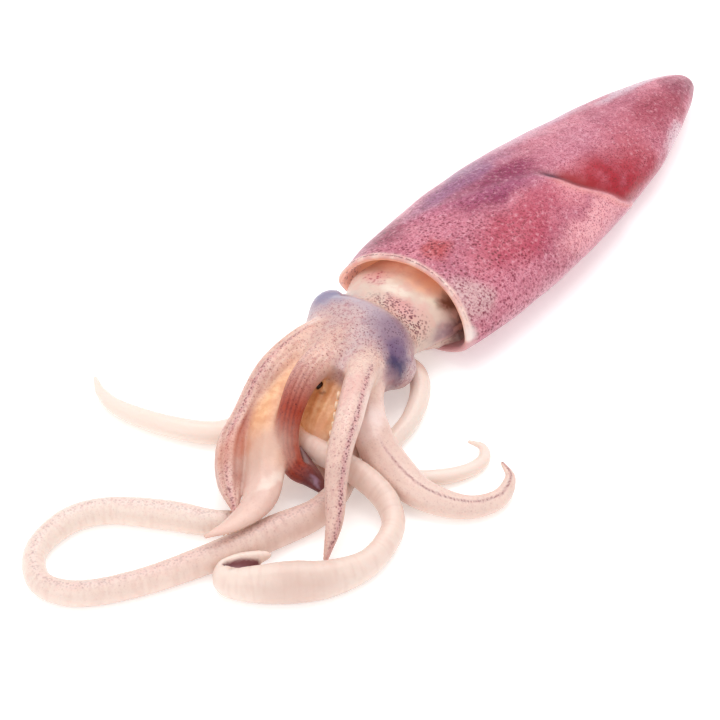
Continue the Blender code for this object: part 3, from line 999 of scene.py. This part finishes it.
# What the skin looks like at each point, by the arms that it belongs to. A keel is a dotted
# line: its strength, its angle round the arm, its half width and where along the arm it
# starts. Rust is the red-brown tint: where it starts and is full, its strength, its middle
# angle and its half width in degrees. Pale is the share of pale flesh at the root and at the
# tip. Web is the ochre of the thin flesh near the mouth, its strength and where it ends.
PLAIN_ARM = {"keel": (0.0, 90, 1.0, 0.5), "rust": (2.0, 3.0, 0.0, 90, 90), "maroon": 0.0, "line": 0.0}
ARM_TINTS = {
    "arm_1_left": {"keel": (0.3, 124, 2.4, 0.12), "rust": (0.26, 0.58, 1.0, 90, 170), "dots": 0.8,
                   "pale": (0.2, 0.0), "web": (0.1, 0.4), "maroon": 1.0},
    "arm_1_right": {"keel": (1.0, 46, 1.3, 0.08), "dots": 0.5, "pale": (0.5, 0.35), "web": (0.1, 0.3)},
    "arm_2_left": {"keel": (0.9, 98, 1.2, 0.08), "rust": (0.42, 0.6, 0.9, 26, 56), "dots": 0.7,
                   "pale": (0.2, 0.15), "web": (0.15, 0.4)},
    "arm_2_right": {"keel": (0.6, 82, 0.6, 0.3), "dots": 0.2, "pale": (0.35, 0.6), "web": (0.0, 0.2),
                    "line": 0.8},
    "arm_3_left": {"dots": 0.1, "pale": (0.1, 0.25), "web": (0.95, 0.7)},
    "arm_3_right": {"dots": 0.05, "pale": (0.1, 0.1), "web": (0.9, 0.8)},
    "arm_4_left": {"dots": 0.0, "pale": (0.9, 1.0), "web": (0.6, 0.3)},
    "arm_4_right": {"dots": 0.04, "pale": (0.9, 1.0), "web": (0.0, 0.2)},
}
OWN_REACH = 1.3
OWN_LIMIT = 14


def weight_of(gap):
    """How far a point of the joined skin belongs to a limb, by its distance from that limb."""
    return np.exp(-np.clip(gap, 0, OWN_LIMIT) / OWN_REACH)


shares = {"head": weight_of(head_field(skin_points))}
looks = {"head": {"head": 1.0, "dots": 0.85, "pale": 0.1}}
for name, limb in arms.items():
    gap, where, angle = limb.field(skin_points)
    shares[name] = weight_of(gap)
    along = limb.at(limb.along, where)
    turn = np.degrees(angle) % 360
    width = limb.at(limb.width, where)
    tint = {**PLAIN_ARM, **ARM_TINTS[name]}
    strength, middle, half_width, begins = tint["keel"]
    off_keel = np.radians(turn - middle) * width
    start, full, rust, rust_middle, rust_reach = tint["rust"]
    off_rust = np.abs((turn - rust_middle + 180) % 360 - 180)
    furrowed = np.interp(limb.furrow, (0.8, 1.05), (0.0, 1.0))
    root_pale, tip_pale = tint["pale"]
    web, web_end = tint["web"]
    looks[name] = {
        "keel": strength * bell(off_keel, half_width) * smooth(begins, begins + 0.12, along),
        "rust": rust * smooth(start, full, along) * smooth(rust_reach, rust_reach * 0.6, off_rust)
        * (1.0 if tint["maroon"] else 1 - smooth(0.86, 0.95, along)),
        "dots": tint["dots"] * smooth(-10, 40, 90 - np.abs(turn - 90)) * (turn < 200),
        "pale": root_pale + (tip_pale - root_pale) * smooth(0.2, 0.7, along),
        "oral": between(turn, 200, 235, 305, 340),
        "web": web * (1 - smooth(web_end * 0.6, web_end, along)),
        "maroon": tint["maroon"] * smooth(0.80, 0.93, along),
        "line": tint["line"] * bell(off_keel, 0.5) * smooth(0.3, 0.5, along),
        # Painted shade along the bottoms of the furrows, with the brown of the lines that run along the
        # arms
        "furrow": limb.grooves(turn) * furrowed * smooth(0.15, 0.6, along) * (turn < 180),
    }
for name, limb in swellings.items():
    gap, _, angle = limb.field(skin_points)
    shares[name] = weight_of(gap)
    looks[name] = {
        # crease is painted shade in the troughs between the mouth's folds
        "mouth": {"web": 1.0, "crease": 0.5 - 0.5 * np.cos(MOUTH_FOLDS * angle), "dots": 0.1,
                  "pale": 0.1},
        "web_fold": {"maroon": 1.0, "dots": 0.1, "pale": 0.1},
    }.get(name, looks["head"])
total = sum(shares.values()) + 1e-9
for key in (
        "keel", "rust", "dots", "pale", "oral", "web", "crease", "maroon", "furrow", "line", "head"):
    paint(skin_mesh, key, sum(shares[name] * looks[name].get(key, 0.0) for name in shares) / total)
paint(skin_mesh, "neck", smooth(-130.5, -124.5, skin_points[:, 0] + HEAD_SLANT * skin_points[:, 1]))


ARM_MOTTLE_TINT = (0.72, 0.42, 0.50)
ARM_FRECKLE_TINT = (0.56, 0.24, 0.30)
ARM_DOT_TINT = (0.36, 0.09, 0.14)
HEAD_DOT_TINT = (0.30, 0.12, 0.20)
HEAD_WASHES = (
    ((184, 166, 178), (-131, 2, 38), (8, 34, 14), 0.7),
    ((138, 130, 158), (-130, 25, 31), (17, 20, 21), 0.95),
    ((134, 104, 126), (-136, -16, 34), (19, 17, 17), 0.85),
    ((104, 76, 114), (-142, -24, 29), (12, 10, 15), 0.85),
    ((50, 32, 82), (-147, -27, 24.5), (8.5, 8, 13), 0.95),
    ((150, 100, 112), (-153, -28, 22), (8, 9, 10), 0.6),
)
NECK_WASHES_AND_SHADE = (
    ((208, 160, 140), (-94, 20, 29), (19, 22, 16), 0.85),
    ((208, 138, 140), (-115, -8, 32), (9, 16, 12), 0.75),
    ((232, 218, 204), (-108, 4, 32), (7, 14, 10), 0.8),
    ((228, 210, 192), (-101, -14, 30), (6, 8, 10), 0.8),
    ((150, 112, 122), (-106, -27, 18), (18, 8, 13), 0.9),
    ((250, 214, 198), (-91, 12, 28), (14, 16, 12), 0.9),
    ((238, 184, 154), (-92, -4, 30), (13, 15, 12), 0.9),
    # Painted shade in the two dark rows below: the gap between the neck and the collar's right corner,
    # and under it
    ((112, 60, 44), (-95, -20, 27), (10, 9, 13), 0.95),
    ((84, 46, 50), (-96, -28, 17), (14, 7, 14), 0.9),
)
ARM_WASHES_AND_HIGHLIGHT = (
    ((150, 118, 138), (-214.5, -37, 13), (3, 6, 5), 0.8),
    ((198, 160, 146), (-222, -12, 22), (30, 15, 15), 0.8),
    # Painted highlight: a pale streak along the left third arm
    ((242, 228, 216), (-232, -26, 20), (16, 4, 9), 0.5),
    ((190, 112, 84), (-228, 0, 22), (22, 11, 14), 0.5),
    ((208, 176, 164), (-262, -66, 9), (36, 24, 17), 0.65),
    ((222, 206, 198), (-152, -60, 5), (44, 38, 9), 0.5),
    ((250, 230, 226), (-182, -39, 28), (24, 9, 13), 0.7),
    ((218, 160, 154), (-183, -30, 43), (18, 10, 8), 0.4),
    ((120, 84, 72), (-126, -13.5, 12), (2.0, 1.8, 3), 0.9),
)


def arm_skin():
    finish = Finish("arm_skin", 0.4, 0.25, 0.3)
    cloud = finish.noise(18, 4.0)
    colour = finish.mix(cloud.step(0.35, 0.65), rgb(223, 182, 168), rgb(207, 162, 149))
    colour = finish.coats(
        colour, ("pale", 1.0, (236, 218, 207)), ("head", 0.9, (195, 168, 169)),
        ("oral", 0.5, (226, 188, 156)))
    web = finish.painted("web")
    thin = finish.noise(5.0, 3.0)
    ochre = finish.mix(thin.step(0.35, 0.65), rgb(236, 190, 142), rgb(212, 148, 98))
    colour = finish.mix(web * 0.85, colour, ochre)
    colour = finish.coats(
        # crease: painted shade in the troughs between the mouth's folds
        colour, ("crease", 0.22, (206, 160, 120), STAIN_AND_SHADE), ("keel", 0.4, (190, 118, 138)),
        ("rust", 0.97, (160, 48, 2)), ("line", 0.8, (136, 76, 74)),
        # furrow: painted shade in the grooves, with the brown of the arms' lines
        ("furrow", 0.75, (170, 92, 70), STAIN_AND_SHADE), ("maroon", 0.9, (96, 40, 44)),
        # wrinkle: painted shade in the troughs of the tentacles' wrinkles
        ("wrinkle", 0.2, (228, 206, 202), STAIN_AND_SHADE), ("neck", 0.95, (214, 188, 174)))
    neck = finish.painted("neck")
    dots = finish.painted("dots") * (1 - neck)
    mottle = finish.noise(2.0, 4.0).step(0.52, 0.36)
    colour = finish.stain(mottle * dots * 0.6, colour, ARM_MOTTLE_TINT)
    colour = finish.stain(finish.spots(1.0, 0.42, 0.85) * dots * 0.7, colour, ARM_FRECKLE_TINT)
    colour = finish.stain(finish.spots(1.8, 0.56, 0.45) * dots * 0.85, colour, ARM_DOT_TINT)
    keel = finish.painted("keel")
    colour = finish.mix(finish.spots(1.15, 0.7, 0.75) * keel * 0.9, colour, rgb(104, 36, 50))
    place = finish.swayed(8, 3.0, (10, 10, 10))
    colour = finish.washes(colour, place, HEAD_WASHES, 0.25)
    right = finish.blotch((-142, -16, 32), (32, 24, 22), place)
    colour = finish.stain(finish.spots(1.3, 0.52, 0.8) * right * 0.85, colour, HEAD_DOT_TINT)
    # Washes on the neck, with painted shade in the gap beside it on the right
    colour = finish.washes(colour, place, NECK_WASHES_AND_SHADE, 0.2)
    cloud = finish.noise(7.0, 4.0).step(0.45, 0.62)
    colour = finish.mix(cloud * neck * 0.45, colour, rgb(216, 164, 154))
    specks = finish.blotch((-105, 18, 30), (9, 9, 12), place, 0.3)
    colour = finish.mix(specks * 0.45, colour, rgb(214, 136, 142))
    colour = finish.mix(finish.spots(1.6, 0.9, 0.6) * specks * 0.8, colour, rgb(164, 52, 80))
    band = finish.blotch((-120, -12, 31), (11, 30, 17), place, 0.3)
    colour = finish.mix(finish.spots(1.2, 0.66, 0.85) * band * 0.9, colour, rgb(100, 28, 48))
    colour = finish.mix(finish.spots(2.1, 1.0, 0.5) * band * 0.8, colour, rgb(112, 36, 56))
    colour = finish.mix(finish.blotch((-178, -9, 21), (2.4, 2.0, 5), place), colour, rgb(96, 52, 24))
    # Dark maroon in the club's slot: partly its turned-up inner side, partly painted shade in the gap
    # of the curl
    colour = finish.coats(colour, ("slot", 0.95, (116, 50, 58)))
    # Washes on the arms, with a painted highlight streak along the left third arm
    colour = finish.washes(colour, place, ARM_WASHES_AND_HIGHLIGHT, 0.2)
    # Painted light: the thin ochre flesh near the mouth gives off a faint light, in place of light
    # through it
    finish.painted_glow(web, rgb(236, 160, 96), 0.12)
    relief = finish.bump(finish.noise(1.5, 3.0), 0.2, 0.6)
    relief = finish.bump(finish.noise(7.0, 2.0), 0.7, 0.4, relief)
    gloss = finish.noise(4.0, 2.0) * 0.18 + 0.3
    return finish.done(colour, relief, gloss)


arm_material = arm_skin()
finished(skin_mesh, arm_material)


# ---------------------------------------------------------------- funnel
# The funnel is a short soft cone of muscle under the neck, through which the squid blows
# water. It starts inside the collar and opens forwards below the head.

FUNNEL = Limb(0.5, 0.0, (
    (-78, -8, 9, 21.0), (-88, -8, 8.5, 21.0), (-95, -7, 8, 19.5), (-101, -6.5, 7.6, 16.0),
    (-108, -6, 7.2, 12.0), (-115, -6, 6.8, 9.0), (-121, -6, 6.4, 7.0)))
FUNNEL_SIDES = 96
FUNNEL_RINGS = 40
FUNNEL_INNER_RINGS = 12
FUNNEL_RIPPLE = 0.012
FUNNEL_RIPPLE_TURN = 1.9
FUNNEL_WALL = 0.24
FUNNEL_HOLE = 0.3


def swept_ring(limb, row, angles, share):
    """One ring round a limb, at a share of its full width."""
    here = np.full(len(angles), float(row))
    radius = limb.section(here, angles) * share
    return limb.at(limb.line, here) + limb.outward(here, angles) * radius[:, None]


around = np.linspace(0, 2 * math.pi, FUNNEL_SIDES, endpoint=False)
last = len(FUNNEL.line) - 1
outer = [(row, 1.0 + FUNNEL_RIPPLE * math.sin(row * FUNNEL_RIPPLE_TURN))
         for row in np.linspace(0, last, FUNNEL_RINGS)]
lip = [(last, 1.0 - FUNNEL_WALL * t) for t in (0.25, 0.75)]
inner = [(row, 1.0 - FUNNEL_WALL)
         for row in np.linspace(last, last * (1 - FUNNEL_HOLE), FUNNEL_INNER_RINGS)]
funnel_rings = np.array([
    swept_ring(FUNNEL, row, around, share) for row, share in outer + lip + inner])
funnel_rings[..., 2] = np.maximum(funnel_rings[..., 2], LIMB_FLOOR)
funnel_mesh = tube_mesh("funnel", funnel_rings)
for name, strength in (("pale", 0.6), ("dots", 0.5)):
    paint(funnel_mesh, name, np.full(len(funnel_mesh.vertices), strength))
finished(funnel_mesh, arm_material)


# ---------------------------------------------------------------- tentacles
# The two long feeding tentacles are round stalks with fine wrinkles across them, which grow
# out between the arms. The left one ends in a wider club, curled over at its end, and the
# right one lies in a loop. Each is swept along its line by Geometry Nodes.

TENTACLES = {
    "tentacle_left": (0.85, 0.15, (
        (-158, 1, 13, 5.0), (-176, 1, 10, 5.0), (-190, -4, 9.5, 5.2), (-198.5, -13, 11.5, 5.6),
        (-200.5, -27, 14, 6.0), (-200.5, -40, 14.5, 6.3), (-200, -54, 12, 6.6), (-203, -67, 8.8, 6.4),
        (-213, -77, 6.8, 6.0), (-233, -80, 6, 6.6), (-251, -73.5, 7, 8.6), (-263.5, -62, 7.5, 9.8),
        (-274, -50, 7, 8.4), (-279.5, -41, 7, 6.4), (-275, -36.5, 7.5, 5.2), (-267.5, -39.5, 8, 4.6),
        (-261, -43.5, 8.5, 3.0), (-257, -46.5, 8.5, 1.2))),
    "tentacle_right": (0.95, 0.15, (
        (-154, -5, 16, 5.5), (-166, -14, 11, 5.4), (-181, -28, 7.5, 5.4), (-198, -39, 5.4, 6.0),
        (-221, -44.5, 5.6, 6.6), (-245, -37.5, 6.4, 7.6), (-273, -25.5, 5.6, 6.6),
        (-302, -11, 5.2, 6.0), (-322, 5, 5, 5.8), (-327, 22, 4.8, 5.4), (-315, 36, 4.8, 5.4),
        (-295, 37.3, 5.2, 6.0), (-279, 27.5, 5.4, 6.2), (-265, 5, 5.6, 6.8),
        (-256, -12, 5, 5.8), (-240, -23, 3.5, 2.2))),
}
STALK_SIDES = 40
STALK_STEP = 0.9
WRINKLE_DEPTH = 0.5
WRINKLE_SPACING = 1.3
SLOT_ENDS = np.array(((-275.5, -36.5), (-264.0, -45.0)))
SLOT_WIDTH = 2.0
SLOT_DEPTH = 3.0
TENTACLE_LOOKS = {
    "tentacle_left": {"pale": (0.55, 0.85), "keel": 0.0, "dots": 0.0, "web": 0.26},
    "tentacle_right": {"pale": (0.5, 1.0), "keel": 0.28, "dots": 0.22, "web": 0.1},
}


class Recipe(Nodes):
    """A Geometry Nodes tree under construction, with named inputs for its sizes."""

    def __init__(self, name, inputs):
        super().__init__(bpy.data.node_groups.new(name, "GeometryNodeTree"))
        sockets = self.tree.interface
        sockets.new_socket("Geometry", in_out="OUTPUT", socket_type="NodeSocketGeometry")
        sockets.new_socket("Geometry", in_out="INPUT", socket_type="NodeSocketGeometry")
        self.keys = {}
        for label, kind in inputs.items():
            made = sockets.new_socket(label, in_out="INPUT", socket_type="NodeSocket" + kind)
            self.keys[label] = made.identifier
        self.start = self.tree.nodes.new("NodeGroupInput")

    def given(self, label):
        return Level(self.tree, self.start.outputs[label])

    def stored(self, name, kind="FLOAT"):
        """An attribute of the source mesh."""
        return self.node("GeometryNodeInputNamedAttribute", {"data_type": kind}, {"Name": name})

    def store(self, shape, name, value):
        """The shape with an attribute added, for its material or a later node to read."""
        return self.node("GeometryNodeStoreNamedAttribute", {"data_type": "FLOAT", "domain": "POINT"}, {
            "Geometry": shape, "Name": name, "Value": value})

    def end(self, shape):
        whole = self.node("GeometryNodeRealizeInstances", None, {"Geometry": shape})
        whole = self.node("GeometryNodeSetMaterial", None, {
            "Geometry": whole, "Material": self.given("Material")})
        output = self.tree.nodes.new("NodeGroupOutput")
        self.tree.links.new(whole.socket, output.inputs["Geometry"])

    def mesh(self, name, source, values):
        """The plain mesh that the tree makes from a source mesh with these sizes."""
        holder = bpy.data.objects.new(name, source)
        scene.collection.objects.link(holder)
        modifier = holder.modifiers.new(name, "NODES")
        modifier.node_group = self.tree
        for label, value in values.items():
            modifier[self.keys[label]] = value
        ready = holder.evaluated_get(bpy.context.evaluated_depsgraph_get())
        mesh = bpy.data.meshes.new_from_object(ready)
        holder.modifiers.clear()
        bpy.data.objects.remove(holder)
        mesh.name = name
        mesh.shade_smooth()
        return mesh


def stalk_recipe():
    recipe = Recipe("stalk", {
        "Sides": "Int", "Flatness": "Float", "Wrinkles": "Float", "Wrinkle depth": "Float",
        "Material": "Material"})
    line = recipe.node("GeometryNodeMeshToCurve", None, {"Mesh": recipe.given("Geometry")})
    line = recipe.node("GeometryNodeSetCurveNormal", {"mode": "Z_UP"}, {"Curve": line})
    line = recipe.node("GeometryNodeSetCurveRadius", None, {
        "Curve": line, "Radius": recipe.stored("width")})
    line = recipe.store(line, "along", recipe.node("GeometryNodeSplineParameter", output="Factor"))
    ring = recipe.node("GeometryNodeCurvePrimitiveCircle", None, {
        "Resolution": recipe.given("Sides"), "Radius": 1.0})
    squash = recipe.node("ShaderNodeCombineXYZ", None, {
        "X": recipe.given("Flatness"), "Y": 1.0, "Z": 1.0})
    spot = recipe.node("GeometryNodeInputPosition")
    ring = recipe.node("GeometryNodeSetPosition", None, {
        "Geometry": ring, "Position": recipe.vector("MULTIPLY", spot, squash)})
    skin = recipe.node("GeometryNodeCurveToMesh", None, {
        "Curve": line, "Profile Curve": ring, "Scale": recipe.stored("width"), "Fill Caps": True})
    across = recipe.node("ShaderNodeCombineXYZ", None, {
        "X": recipe.stored("along") * recipe.given("Wrinkles")})
    where = recipe.vector("ADD", across, recipe.vector("MULTIPLY", spot, (90.0, 90.0, 90.0)))
    ripple = recipe.node("ShaderNodeTexNoise", None, {
        "Vector": where, "Scale": 1.0, "Detail": 2.0}) - 0.5
    # Painted shade: the troughs of the wrinkles, stored for the material to darken
    skin = recipe.store(skin, "wrinkle", ripple.step(0.02, -0.14))
    depth = ripple * recipe.given("Wrinkle depth")
    depth = recipe.node("ShaderNodeCombineXYZ", None, {"X": depth, "Y": depth, "Z": depth})
    out = recipe.vector("MULTIPLY", recipe.node("GeometryNodeInputNormal"), depth)
    recipe.end(recipe.node("GeometryNodeSetPosition", None, {"Geometry": skin, "Offset": out}))
    return recipe


stalk = stalk_recipe()
slot_way = SLOT_ENDS[1] - SLOT_ENDS[0]
tentacles = {name: Limb(*spec) for name, spec in TENTACLES.items()}
for name, limb in tentacles.items():
    rows = np.linspace(0, len(limb.line) - 1, round(limb.length / STALK_STEP))
    path = bpy.data.meshes.new(name + "_line")
    links = [(i, i + 1) for i in range(len(rows) - 1)]
    path.from_pydata((limb.at(limb.line, rows) * MM).tolist(), links, [])
    left = limb.length * (1 - limb.at(limb.along, rows))
    width = limb.at(limb.width, rows)
    round_end = np.sqrt(np.clip(1 - (1 - np.minimum(left / width, 1)) ** 2, 0.01, 1))
    paint(path, "width", width * round_end * MM)
    mesh = stalk.mesh(name, path, {
        "Sides": STALK_SIDES, "Flatness": limb.aspect, "Wrinkles": limb.length / WRINKLE_SPACING,
        "Wrinkle depth": WRINKLE_DEPTH * MM, "Material": arm_material})
    points = np.empty(len(mesh.vertices) * 3, np.float32)
    mesh.vertices.foreach_get("co", points)
    points = points.reshape(-1, 3) / MM
    along = np.empty(len(points), np.float32)
    mesh.attributes["along"].data.foreach_get("value", along)
    where = np.interp(along, limb.along, np.arange(len(limb.along)))
    turn = np.degrees(limb.angle_of(points - limb.at(limb.line, where), where)) % 360
    share = np.clip((points[:, :2] - SLOT_ENDS[0]) @ slot_way / (slot_way @ slot_way), 0, 1)
    off_slot = np.linalg.norm(points[:, :2] - SLOT_ENDS[0] - share[:, None] * slot_way, axis=1)
    slot_width = SLOT_WIDTH * (1 - 0.5 * np.abs(2 * share - 1))
    in_slot = bell(off_slot, slot_width) * smooth(4, 8, points[:, 2])
    points[:, 2] = np.maximum(points[:, 2] - SLOT_DEPTH * in_slot, LIMB_FLOOR)
    # The slot's paint: partly the club's dark inner side, partly painted shade in the gap of the curl
    paint(mesh, "slot", smooth(0.25, 0.7, in_slot))
    mesh.vertices.foreach_set("co", (points * MM).reshape(-1))
    look = TENTACLE_LOOKS[name]
    root_pale, tip_pale = look["pale"]
    paint(mesh, "pale", root_pale + (tip_pale - root_pale) * smooth(0.3, 0.75, along))
    paint(mesh, "keel", look["keel"] * bell(turn - 90, 20))
    paint(mesh, "dots", look["dots"] * bell(turn - 90, 70))
    paint(mesh, "web", 1 - smooth(look["web"] * 0.5, look["web"], along))
    finished(mesh, None)


# ---------------------------------------------------------------- suckers
# Two rows of round suckers run along the inner side of each arm, and four short rows cover
# each tentacle's club. Each is a shallow cup with a pale firm rim, and they get smaller
# towards the tip. Geometry Nodes turn one cup's profile and set a copy on each place.

# Radius and height of a cup as shares of its size, from its base over the rim to its middle
CUP_PROFILE = (
    (0.0, 0.0), (0.62, 0.1), (0.92, 0.5), (1.0, 0.86),
    (0.84, 1.0), (0.62, 0.82), (0.4, 0.5), (0.0, 0.42))
CUP_SIDES = 8
CUP_HEIGHT = 0.9
CUP_SINK = 0.35
CUP_LEAST_SIZE = 0.82
SUCKER_SEED = 7
SUCKER_SPACING = 2.7
SUCKER_TAPER = 0.7
# The rows draw together where a limb is wide for its suckers, as a slope and a least share
SUCKER_CROWDING = (4.2, 0.35)
SUCKER_TABLE_GAP = 1.8
# A sucker is left out where a point this far in front of it is less than this far from the skin
SUCKER_PROBE = 1.6
SUCKER_ROOM = 0.8
# By limb: the middle of the inner side in degrees at its first and last sucker, the rows to each
# side of it, where along the limb they start and end, and the radius of the widest
SUCKER_ROWS = {
    "arm_1_left": ((262, 262), (-24, 24), 0.24, 0.95, 1.4),
    "arm_1_right": ((200, 244), (-15, 15), 0.32, 0.92, 2.2),
    "arm_2_left": ((292, 292), (-26, 26), 0.24, 0.95, 1.4),
    "arm_2_right": ((238, 238), (-20, 20), 0.26, 0.95, 1.5),
    "arm_3_left": ((300, 300), (-24, 24), 0.30, 0.94, 1.6),
    "arm_3_right": ((270, 270), (-24, 24), 0.35, 0.92, 1.2),
    "arm_4_left": ((276, 276), (-15, 15), 0.35, 0.94, 1.1),
    "arm_4_right": ((280, 280), (-16, 16), 0.45, 0.96, 0.9),
    "tentacle_left": ((232, 232), (-36, -12, 12, 36), 0.76, 0.90, 1.0),
    "tentacle_right": ((264, 264), (-36, -12, 12, 36), 0.86, 0.985, 0.8),
}


def sucker_recipe():
    recipe = Recipe("sucker", {
        "Sides": "Int", "Height": "Float", "Sink": "Float", "Least size": "Float", "Seed": "Int",
        "Material": "Material"})
    steps = len(CUP_PROFILE)
    grid = recipe.node("GeometryNodeMeshGrid", None, {
        "Size X": 1.0, "Size Y": 1.0, "Vertices X": recipe.given("Sides") + 1, "Vertices Y": steps})
    spot = recipe.node("GeometryNodeInputPosition")
    x, y = (recipe.node("ShaderNodeSeparateXYZ", None, {"Vector": spot}, axis) for axis in "XY")
    turn, run = (x + 0.5) * (2 * math.pi), y + 0.5
    radius, height = (profile_curve(recipe, run, k) for k in (0, 1))
    place = recipe.node("ShaderNodeCombineXYZ", None, {
        "X": turn.math("COSINE", turn) * radius, "Y": turn.math("SINE", turn) * radius,
        "Z": (height - recipe.given("Sink")) * recipe.given("Height")})
    cup = recipe.node("GeometryNodeSetPosition", None, {
        "Geometry": recipe.store(grid, "cup", run), "Position": place})
    cup = recipe.node("GeometryNodeMergeByDistance", None, {"Geometry": cup, "Distance": 0.001})
    tilt = recipe.node("FunctionNodeAlignRotationToVector", {"axis": "Z"}, {
        "Vector": recipe.stored("facing", "FLOAT_VECTOR")})
    size = recipe.stored("size") * recipe.node("FunctionNodeRandomValue", {"data_type": "FLOAT"}, {
        2: recipe.given("Least size"), 3: 1.0, "Seed": recipe.given("Seed")}, 1)
    recipe.end(recipe.node("GeometryNodeInstanceOnPoints", None, {
        "Points": recipe.given("Geometry"), "Instance": cup, "Rotation": tilt, "Scale": size}))
    return recipe


def profile_curve(recipe, run, column):
    """A column of the cup's profile, read at a place from 0 to 1 along it."""
    node = recipe.tree.nodes.new("ShaderNodeFloatCurve")
    curve = node.mapping.curves[0]
    last = len(CUP_PROFILE) - 1
    for k, row in enumerate(CUP_PROFILE):
        if k in (0, last):
            curve.points[0 if k == 0 else len(curve.points) - 1].location = (k / last, row[column])
        else:
            curve.points.new(k / last, row[column])
    for point in curve.points:
        point.handle_type = "VECTOR"
    node.mapping.update()
    plug(recipe.tree, node.inputs["Value"], run)
    return Level(recipe.tree, node.outputs[0])


def sucker_places(limb, middle, rows, start, end, widest, joined):
    """Places, outward directions and sizes of the suckers of one limb."""
    count = np.arange(len(limb.along))
    runs, angles, sizes = [], [], []
    for k, row in enumerate(rows):
        run = start * limb.length
        while run < end * limb.length:
            t = run / limb.length
            size = widest * (1 - SUCKER_TAPER * (t - start) / (1 - start))
            width = limb.at(limb.width, np.array([t * (len(count) - 1)]))[0]
            spread = min(1.0, SUCKER_CROWDING[0] * size / width + SUCKER_CROWDING[1])
            runs.append(run + 0.5 * (k % 2) * SUCKER_SPACING * size)
            angles.append(np.interp(t, (start, end), middle) + row * spread)
            sizes.append(size)
            run += SUCKER_SPACING * size
    where = np.interp(np.array(runs) / limb.length, limb.along, count)
    angles, sizes = np.radians(angles), np.array(sizes)
    facings = limb.outward(where, angles)
    places = limb.at(limb.line, where) + facings * limb.section(where, angles)[:, None]
    if joined:
        places = skin.settled(places, 1.0)
    clear = places[:, 2] > SUCKER_TABLE_GAP + 0.5 * sizes
    if joined:
        clear &= skin.sample(places + facings * SUCKER_PROBE)[0] > SUCKER_ROOM
    return places[clear], facings[clear], sizes[clear]


def sucker_skin():
    finish = Finish("sucker_skin", 0.35, 0.2, 0.2)
    cup = finish.painted("cup")
    colour = finish.mix(cup.step(0.1, 0.5), rgb(228, 188, 160), rgb(236, 202, 174))
    colour = finish.mix(cup.step(0.62, 0.9), colour, rgb(214, 166, 136))
    colour = finish.stain(finish.noise(1.2, 2.0) * 0.3, colour, (0.84, 0.72, 0.68))
    return finish.done(colour, finish.bump(finish.noise(0.5, 2.0), 0.06, 0.5))


found = [sucker_places(limb, *SUCKER_ROWS[name], name in arms)
         for name, limb in {**arms, **tentacles}.items()]
places, facings, sizes = (np.concatenate([part[k] for part in found]) for k in range(3))
spots = bpy.data.meshes.new("sucker_places")
spots.from_pydata((places * MM).tolist(), [], [])
paint(spots, "size", sizes * MM)
facing = spots.attributes.new("facing", "FLOAT_VECTOR", "POINT")
facing.data.foreach_set("vector", facings.astype(np.float32).reshape(-1))
sucker_mesh = sucker_recipe().mesh("suckers", spots, {
    "Sides": CUP_SIDES, "Height": CUP_HEIGHT, "Sink": CUP_SINK, "Least size": CUP_LEAST_SIZE,
    "Seed": SUCKER_SEED, "Material": sucker_skin()})
finished(sucker_mesh, None)


# ---------------------------------------------------------------- beak
# In the middle of the arms a ring of wrinkled lip surrounds the horny beak, which is hard,
# glossy and nearly black at its tip.

BEAK_PLACE = np.array((-175.0, -7.0, 23.4))
BEAK_TOWARDS = np.array((-0.62, -0.05, 0.78))
# Rise along the beak and radius there
BEAK_ROWS = ((-2.4, 2.5), (-0.6, 2.4), (0.6, 2.0), (1.6, 1.35), (2.3, 0.75), (2.6, 0.3))
BEAK_HOOK = 0.7
BEAK_SIDES = 40
BEAK_FLATNESS = 0.8
LIP_RADIUS = 2.9
LIP_THICKNESS = 0.9
LIP_WRINKLES = 17
LIP_WRINKLE_HEIGHT = 0.10
LIP_RINGS = 12

ahead = BEAK_TOWARDS / np.linalg.norm(BEAK_TOWARDS)
beak_place = BEAK_PLACE[None]
for _ in range(4):
    value, slope = skin.sample(beak_place)
    beak_place = beak_place - value[:, None] * slope
side = np.cross((0.0, 0.0, 1.0), ahead)
side /= np.linalg.norm(side)
up = np.cross(ahead, side)
around = np.linspace(0, 2 * math.pi, BEAK_SIDES, endpoint=False)
spokes = side * np.cos(around)[:, None] * BEAK_FLATNESS + up * np.sin(around)[:, None]
beak_rings = np.array([
    beak_place + ahead * rise + spokes * radius - up * BEAK_HOOK * max(rise, 0) ** 2 / 4
    for rise, radius in BEAK_ROWS])


def beak_horn():
    finish = Finish("beak_horn", 0.22, 0.4, 0.0)
    colour = finish.mix(finish.noise(1.2, 3.0), rgb(52, 26, 18), rgb(24, 12, 10))
    return finish.done(colour, finish.bump(finish.noise(0.6, 2.0), 0.05, 0.5))


finished(tube_mesh("beak", beak_rings), beak_horn())

lip_points = []
for step in range(LIP_RINGS):
    swing = 2 * math.pi * step / LIP_RINGS - math.pi / 2
    wrinkle = 1 + LIP_WRINKLE_HEIGHT * np.cos(around * LIP_WRINKLES) * max(0.0, math.sin(swing))
    radius = (LIP_RADIUS + LIP_THICKNESS * math.cos(swing)) * wrinkle
    lip_points.append(beak_place + ahead * LIP_THICKNESS * math.sin(swing) + spokes * radius[:, None])
i, j = np.meshgrid(np.arange(LIP_RINGS), np.arange(BEAK_SIDES), indexing="ij")
n, k = (i + 1) % LIP_RINGS, (j + 1) % BEAK_SIDES
lip_corners = ((i, j), (i, k), (n, k), (n, j))
lip_quads = np.stack([ring * BEAK_SIDES + spoke for ring, spoke in lip_corners], -1)
lip_mesh = smooth_mesh("mouth_lip", np.concatenate(lip_points), lip_quads.reshape(-1, 4).tolist())
paint(lip_mesh, "web", np.ones(len(lip_mesh.vertices)))
finished(lip_mesh, arm_material)
